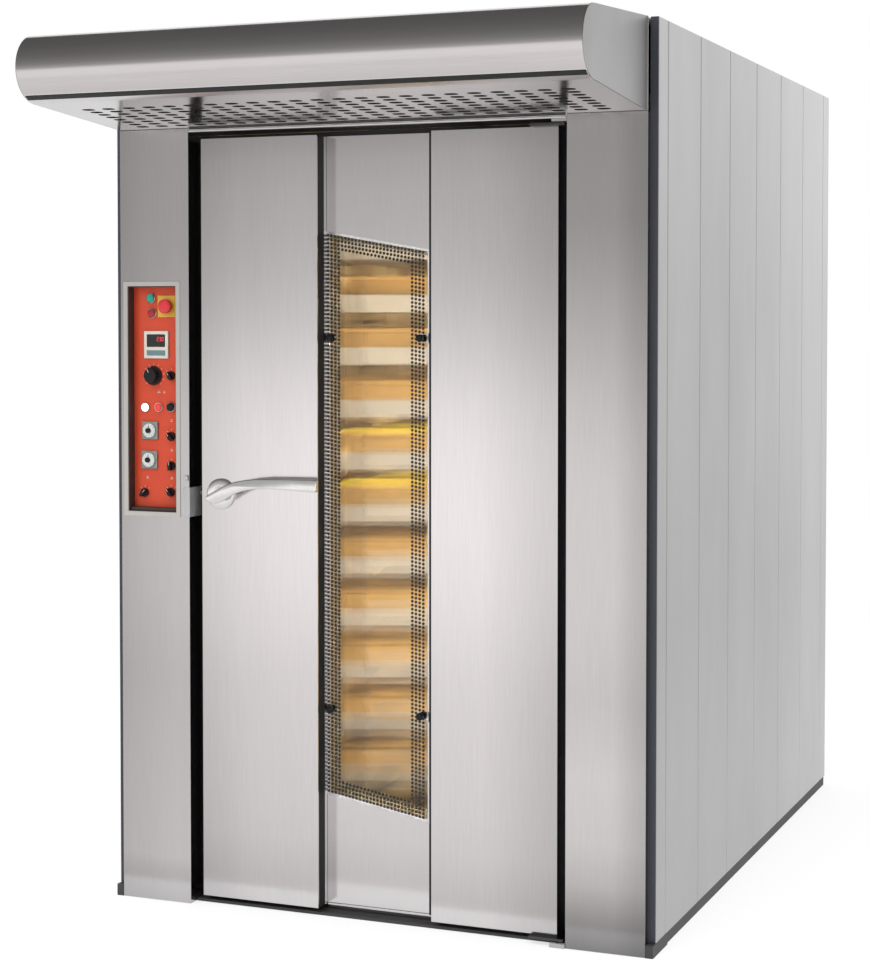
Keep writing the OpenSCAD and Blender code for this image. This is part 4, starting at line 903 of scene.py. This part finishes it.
# name, two corners as [x, z, how far in front], edge radius and its steps, finish, replaced nodes
plates = [
    ("stopPlate", (0.004, 0.219, 0.002), (0.062, 0.277, 0.0001), 0.0006, 1, warningYellow, []),
    ("meterCase", (-0.037, 0.108, 0.005), (0.037, 0.182, 0.0001), 0.0016, 3, creamPlastic,
     ["control_modules"]),
    ("meterScreen", (-0.028, 0.139, 0.0058), (0.028, 0.173, 0.0046), 0.0004, 1, screenBlack, []),
    ("meterKeys", (-0.028, 0.116, 0.0058), (0.028, 0.13, 0.0046), 0.0004, 1, screenTeal, []),
]
digitForm = {"figures": "230", "first": 0.006, "pitch": 0.0075, "z": 0.16, "longBar": (0.0018, 0.0005),
             "upBar": (0.0005, 0.0019)}
digitBars = {"2": "abged", "3": "abgcd", "0": "abcdef"}
# place of each bar from the middle of its figure, and whether it lies flat
barSpots = {"a": (0, 0.005, 1), "b": (0.0024, 0.0025, 0), "c": (0.0024, -0.0025, 0), "d": (0, -0.005, 1),
            "e": (-0.0024, -0.0025, 0), "f": (-0.0024, 0.0025, 0), "g": (0, 0, 1)}
relayForm = {"rows": range(-3, 4), "pitch": 0.08, "half": (0.06, 0.03), "depth": (-0.7, -0.662),
             "slots": 5, "slotPitch": 0.021, "slotDepth": (-0.7015, -0.6995)}


def buildModules():
    bm = bmesh.new()
    ring = mm([(11.4, 0.1), (14, 0.1), (14, 3.5), (13.4, 5.2), (12.2, 6), (11.4, 5.8), (11.4, 0.1)])
    for x, z in buttonSpots.values():
        addTurned(bm, ring, 40, onPanel(x, z))
    finishPiece("buttonCollars", bm, fittingSteel, "oven")
    for name, low, high, radius, steps, material, stands in plates:
        bm = bmesh.new()
        addBlock(bm, panelPoint(*low), panelPoint(*high), radius, steps)
        finishPiece(name, bm, material, stands=stands)
    bm = bmesh.new()
    for number, figure in enumerate(digitForm["figures"]):
        for bar in digitBars[figure]:
            dx, dz, flat = barSpots[bar]
            x, z = digitForm["first"] + number * digitForm["pitch"] + dx, digitForm["z"] + dz
            halfX, halfZ = digitForm["longBar" if flat else "upBar"]
            addBlock(bm, panelPoint(x - halfX, z - halfZ, 0.0061), panelPoint(x + halfX, z + halfZ, 0.0057))
    finishPiece("meterDigits", bm, digitRed)
    bm = bmesh.new()
    for x, z in timerSpots.values():
        low, high = panelPoint(x - 0.024, z - 0.024, 0.0055), panelPoint(x + 0.024, z + 0.024, 0.0001)
        addBlock(bm, low, high, 0.0018, 3)
    finishPiece("timerCases", bm, moduleGrey)
    # contact blocks behind the controls, and a column of relays with slots in front
    bm = bmesh.new()
    spots = [*buttonSpots.values(), *timerSpots.values(), *(spot[:2] for spot in selectorSpots.values())]
    for x, z in spots + [dialSpot, stopSpot]:
        low, high = panelPoint(x - 0.015, z - 0.015, -0.015), panelPoint(x + 0.015, z + 0.015, -0.045)
        addBlock(bm, low, high, 0.001, 2)
    halfX, halfZ = relayForm["half"]
    front, back = relayForm["depth"]
    slotFront, slotBack = relayForm["slotDepth"]
    for number in relayForm["rows"]:
        z = number * relayForm["pitch"]
        low, high = panelPoint(-halfX, z - halfZ), panelPoint(halfX, z + halfZ)
        addBlock(bm, (low.x, front, low.z), (high.x, back, high.z), 0.002, 2)
        for slot in range(relayForm["slots"]):
            x = low.x + 0.012 + slot * relayForm["slotPitch"]
            addBlock(bm, (x, slotFront, low.z + 0.006), (x + 0.012, slotBack, high.z - 0.006), 0.0008, 1)
    finishPiece("contactBlocks", bm, blackPlastic)


def dome(radius, foot, height, crown):
    steps = 8
    curve = [spoke(pi / 2 * (1 - i / steps)) for i in range(steps + 1)]
    return [(radius * p.x, height - crown + crown * p.y) for p in curve] + [(radius, foot)]


def buildButtons():
    finishes = {"green_button": (greenPlastic, "button_green"), "red_button": (darkRedPlastic, "button_red"),
                "black_button": (blackPlastic, "control_black")}
    profile = dome(0.0108, 0.0046, 0.01, 0.0016) + [(0.005, 0.0046), (0.005, -0.009), (0, -0.0092)]
    for node, (x, z) in buttonSpots.items():
        bm = bmesh.new()
        addTurned(bm, profile, 40, onPanel(x, z))
        material, slot = finishes[node]
        finishPiece(pieceName(node), bm, material, node, [node])
    bm = bmesh.new()
    profile = mm([
        (0, 22.9), (6, 22.8), (11, 22.2), (15.5, 20.8), (18.2, 19), (19, 17.2), (19, 10.5), (18.3, 8.6),
        (16, 8.1), (11, 8), (10, 7.8), (5, 7.8), (5, -8), (0, -8)
    ])
    addTurned(bm, profile, 48, onPanel(*stopSpot))
    finishPiece("stopButton", bm, stopRed, "stop_button", ["stop_button"])


def buildDials():
    bm = bmesh.new()
    place = onPanel(*dialSpot)
    skirt = mm([
        (0, 23.8), (12, 23.8), (17.5, 23.4), (18.8, 22.2), (19.4, 20.5), (20, 7.5), (21, 6.2), (24.5, 5.8),
        (25.8, 4.6), (26, 1.2), (5, 1.2), (5, -11), (0, -11)
    ])
    knob = addTurned(bm, skirt, 96, place)
    addFlutes(knob, place, (0.0185, 0.0202), (0.006, 1.0), lambda angle: 0.05 * max(0, cos(angle * 24)))
    finishPiece("mainDial", bm, blackPlastic, "main_dial", ["main_dial"])
    bm = bmesh.new()
    addBlock(bm, (-0.0008, 0.009, 0.0236), (0.0008, 0.017, 0.0241), 0.0002, 1)
    addBlock(bm, (-0.0008, 0.0215, 0.0052), (0.0008, 0.0255, 0.006), 0.0002, 1)
    ops.transform(bm, matrix=place @ turned(radians(20), "Z"), verts=bm.verts[:])
    finishPiece("mainDialMark", bm, creamPlastic, "main_dial")
    for node, (x, z, turn) in selectorSpots.items():
        name = pieceName(node)
        place = onPanel(x, z, turn=radians(turn))
        bm = bmesh.new()
        base = mm([(0, 7.2), (9.5, 7.2), (11.2, 6.8), (12, 5.6), (12, 1.2), (5, 1.2), (5, -11), (0, -11)])
        addTurned(bm, base, 40, place)
        grip = mm([(-4, -11.8), (4, -11.8), (4.6, 0), (3.4, 11.8), (-3.4, 11.8), (-4.6, 0)])
        addOutline(bm, grip, 0.0112, 0.0012, 2, place @ moved(0, 0, 0.0066))
        finishPiece(name, bm, blackPlastic, node, [node])
        bm = bmesh.new()
        addBlock(bm, (-0.0006, 0.002, 0.0176), (0.0006, 0.011, 0.018), 0.0001, 1)
        ops.transform(bm, matrix=place, verts=bm.verts[:])
        finishPiece(name + "Mark", bm, creamPlastic, node)
    for node, (x, z) in timerSpots.items():
        name = pieceName(node)
        place = onPanel(x, z, 0.006)
        bm = bmesh.new()
        plate = mm([(0, 6), (16.5, 6), (18.4, 5.4), (19, 4.2), (19, 1.1), (5, 1.1), (5, -13), (0, -13)])
        addTurned(bm, plate, 56, place)
        finishPiece(name, bm, dialGrey, node, [node])
        bm = bmesh.new()
        hub = mm([(0, 13.8), (5, 13.7), (6.4, 13), (7, 11.8), (7, 5.9), (0, 5.9)])
        addTurned(bm, hub, 32, place)
        pointer = mm([(-1.1, 4), (1.1, 4), (0.4, 15), (-0.4, 15)])
        addOutline(bm, pointer, 0.0012, 0.0002, 1, place @ moved(0, 0, 0.006))
        for step in range(12):
            rim = place @ turned(tau * step / 12, "Z")
            verts = addBlock(bm, (-0.0004, 0.014, 0.0059), (0.0004, 0.0172, 0.0062))
            ops.transform(bm, matrix=rim, verts=verts)
        finishPiece(name + "Hub", bm, blackPlastic, node)


# Plain marks printed beside the controls: short strokes round the dials, and bars in the place of words
def buildMarks():
    bm = bmesh.new()

    def stroke(x, z, length, angle=0.0, thick=0.0009):
        verts = addBlock(bm, (-length / 2, -thick / 2, 0), (length / 2, thick / 2, 0.0002))
        ops.transform(bm, matrix=onPanel(x, z) @ turned(angle, "Z"), verts=verts)

    def rayStroke(x, z, reach, degrees):
        angle = radians(degrees)
        stroke(x + reach * cos(angle), z + reach * sin(angle), 0.0045, angle)

    for x, z, turn in selectorSpots.values():
        for degrees in (135, 90, 45):
            rayStroke(x, z, 0.0175, degrees)
    for step in range(11):
        rayStroke(*dialSpot, 0.0305, 225 - 27 * step)
    bars = ((0.006, 0.016, 0.01), (0.044, -0.06, 0.007), (0.044, -0.14, 0.007), (-0.03, -0.215, 0.008),
            (0.044, -0.215, 0.008), (0.022, 0.016, 0.006))
    for x, z, wide in bars:
        stroke(x, z, wide, 0.0, 0.0014)
        stroke(x, z + 0.004, wide * 0.6, 0.0, 0.0014)
    finishPiece("panelMarks", bm, creamPlastic)


def buildLamps():
    for name, x, z, lens in (("whiteLamp", -0.035, -0.024, whiteLens), ("redLamp", 0.006, -0.023, redLens)):
        bm = bmesh.new()
        addTurned(bm, dome(0.0098, 0.002, 0.0088, 0.003) + [(0, 0.002)], 40, onPanel(x, z))
        finishPiece(name, bm, lens, "oven", ["indicator_lamps"] if name == "whiteLamp" else [])
        bm = bmesh.new()
        ring = mm([(10, 0.1), (13, 0.1), (13, 2.8), (12.2, 4), (10.6, 4), (10, 3.2), (10, 0.1)])
        addTurned(bm, ring, 40, onPanel(x, z))
        finishPiece(name + "Collar", bm, fittingSteel, "oven")


buildRecess()
buildModules()
buildButtons()
buildDials()
buildMarks()
buildLamps()
print("control panel built")


# ---- floor, light and camera ----

# the floor shows as plain light, a little darker near the oven, between the two distances of reach
stageForm = {"floorSize": 60.0, "floorColor": (0.86, 0.86, 0.86), "whiteNear": 0.7, "whiteFar": 1.0,
             "reach": (2.0, 5.5)}


def buildStage():
    bm = bmesh.new()
    ops.create_grid(bm, x_segments=1, y_segments=1, size=stageForm["floorSize"] / 2)
    floor = linkMesh("floor", bm)
    material, tree, shader = startMaterial("paleFloor", stageForm["floorColor"], Roughness=0.7)
    away = newNode(tree, "VectorMath")
    away.operation = "LENGTH"
    tree.links.new(objectPlace(tree), away.inputs[0])
    fade = newNode(tree, "MapRange")
    setInputs(fade, From_Min=stageForm["reach"][0], From_Max=stageForm["reach"][1],
              To_Min=stageForm["whiteNear"], To_Max=stageForm["whiteFar"])
    tree.links.new(away.outputs["Value"], fade.inputs["Value"])
    white = newNode(tree, "Emission")
    setInputs(white, Color=(1, 1, 1, 1))
    mix = newNode(tree, "MixShader")
    tree.links.new(mathOn(tree, "MULTIPLY", directRays(tree), fade.outputs["Result"]), mix.inputs[0])
    tree.links.new(shader.outputs[0], mix.inputs[1])
    tree.links.new(white.outputs[0], mix.inputs[2])
    tree.links.new(mix.outputs[0], tree.nodes["Material Output"].inputs["Surface"])
    floor.data.materials.append(material)


worldForm = {"seen": 1.0, "light": 0.62}


def buildWorld():
    world = bpy.data.worlds.new("studio")
    scene.world = world
    world.use_nodes = True
    tree = world.node_tree
    background = tree.nodes["Background"]
    setInputs(background, Color=(1, 1, 1, 1))
    strength = rangeOn(tree, directRays(tree), worldForm["light"], worldForm["seen"])
    tree.links.new(strength, background.inputs["Strength"])


# Grey studio screens that only reflections see: a wall behind the camera, a dark ceiling and a floor
screenForm = {
    "wallY": -16.0, "wallTop": 9.0, "half": 40.0, "back": 6.0, "floorEnd": -0.95, "floorLift": 0.004,
    "wallTones": [(0.0, 1.13), (0.07, 1.09), (0.12, 0.87), (0.17, 0.71), (0.24, 0.57), (0.34, 0.51),
                  (0.42, 0.47), (0.55, 0.37), (0.75, 0.31), (1.0, 0.27)],
    "ceilingTones": [(0.0, 0.27), (0.3, 0.2), (0.6, 0.14), (1.0, 0.1)],
    "floorTones": [(0.0, 1.13), (0.32, 1.12), (0.57, 1.07), (0.72, 0.98), (0.79, 0.88), (0.88, 0.86),
                   (0.95, 0.82), (1.0, 0.78)],
}


# A screen between two long edges given as [y, z], with tones along one axis
def addScreen(name, near, far, axis, span, tones):
    half = screenForm["half"]
    corners = ((-half, *near), (half, *near), (half, *far), (-half, *far))
    bm = bmesh.new()
    bm.faces.new([bm.verts.new(c) for c in corners])
    screen = linkMesh(name, bm)
    material = bpy.data.materials.new(name)
    material.use_nodes = True
    tree = material.node_tree
    tree.nodes.remove(tree.nodes["Principled BSDF"])
    glow = newNode(tree, "Emission")
    tints = [(at, (v, v * 0.975, v * 0.96)) for at, v in tones]
    tree.links.new(rampOn(tree, along(tree, axis, span), tints), glow.inputs["Color"])
    tree.links.new(glow.outputs[0], tree.nodes["Material Output"].inputs["Surface"])
    screen.data.materials.append(material)
    screen.visible_camera = screen.visible_diffuse = screen.visible_shadow = False
    screen.visible_transmission = screen.visible_volume_scatter = False


def buildScreens():
    top, wallY, back = (screenForm[key] for key in ("wallTop", "wallY", "back"))
    lift, front = screenForm["floorLift"], screenForm["floorEnd"]
    addScreen("screenWall", (wallY, 0), (wallY, top), "Z", (0.0, top), screenForm["wallTones"])
    addScreen("screenFloor", (wallY, lift), (front, lift), "Y", (wallY, front), screenForm["floorTones"])
    addScreen("screenCeiling", (wallY, top), (back, top), "Y", (wallY, back), screenForm["ceilingTones"])


def addSoftbox(name, place, target, size, power, color=(1, 1, 1)):
    light = bpy.data.lights.new(name, "AREA")
    light.shape, light.size, light.size_y = "RECTANGLE", size[0], size[1]
    light.energy, light.color = power, color
    lamp = bpy.data.objects.new(name, light)
    lamp.location = place
    lamp.rotation_euler = (Vector(target) - Vector(place)).to_track_quat("-Z", "Y").to_euler()
    lamp.visible_camera = lamp.visible_glossy = False
    scene.collection.objects.link(lamp)


# place, power and color of the lamps behind the front corners and along the rear wall of the chamber
glowForm = [((x, -0.585, z), 7.0, (1.0, 0.9, 0.7)) for x in (-0.56, 0.56) for z in (0.7, 1.5)]
glowForm += [((0.0, 0.5, z), 5.0, (1.0, 0.84, 0.55)) for z in (0.45, 1.1, 1.75)]
gapForm = {"levels": (5, 6), "spot": (-0.27, -0.19), "size": (0.26, 0.16), "power": 0.45,
           "color": (0.9, 1.0, 0.16)}


def buildLights():
    addSoftbox("keyLight", (-2.6, -5.2, 3.8), (0, -0.6, 1.1), (2.4, 3.0), 120)
    addSoftbox("sideLight", (5.5, -1.0, 2.6), (0.7, 0.2, 1.1), (3.0, 3.0), 70)
    addSoftbox("topLight", (0.5, -2.0, 7.0), (0.2, -1.5, 0.0), (9.0, 9.0), 900)
    for place, power, color in glowForm:
        light = bpy.data.lights.new("chamberGlow", "POINT")
        light.energy, light.color, light.shadow_soft_size = power, color, 0.05
        lamp = bpy.data.objects.new("chamberGlow", light)
        lamp.location = place
        lamp.visible_camera = lamp.visible_transmission = False
        scene.collection.objects.link(lamp)
    # low yellow light in the gaps above two rows of tins
    for level in gapForm["levels"]:
        place = onRack @ Vector((*gapForm["spot"], trayFoot(level + 1) - 0.004))
        below = place - Vector((0, 0, 1))
        addSoftbox("gapGlow", place, below, gapForm["size"], gapForm["power"], gapForm["color"])


cameraForm = {"place": (2.1652, -5.6561, 1.5707), "pitch": -0.03493, "yaw": 0.38687, "lens": 76.63,
              "shiftY": -0.1008}


def buildCamera():
    data = bpy.data.cameras.new("photoCamera")
    data.lens, data.sensor_width, data.shift_y = cameraForm["lens"], 36.0, cameraForm["shiftY"]
    data.clip_end = 200
    camera = bpy.data.objects.new("photoCamera", data)
    camera.location = cameraForm["place"]
    camera.rotation_euler = (pi / 2 + cameraForm["pitch"], 0, cameraForm["yaw"])
    scene.collection.objects.link(camera)
    scene.camera = camera
    scene.view_settings.view_transform = "Standard"


buildStage()
buildWorld()
buildScreens()
buildLights()
buildCamera()
print("stage and camera ready")
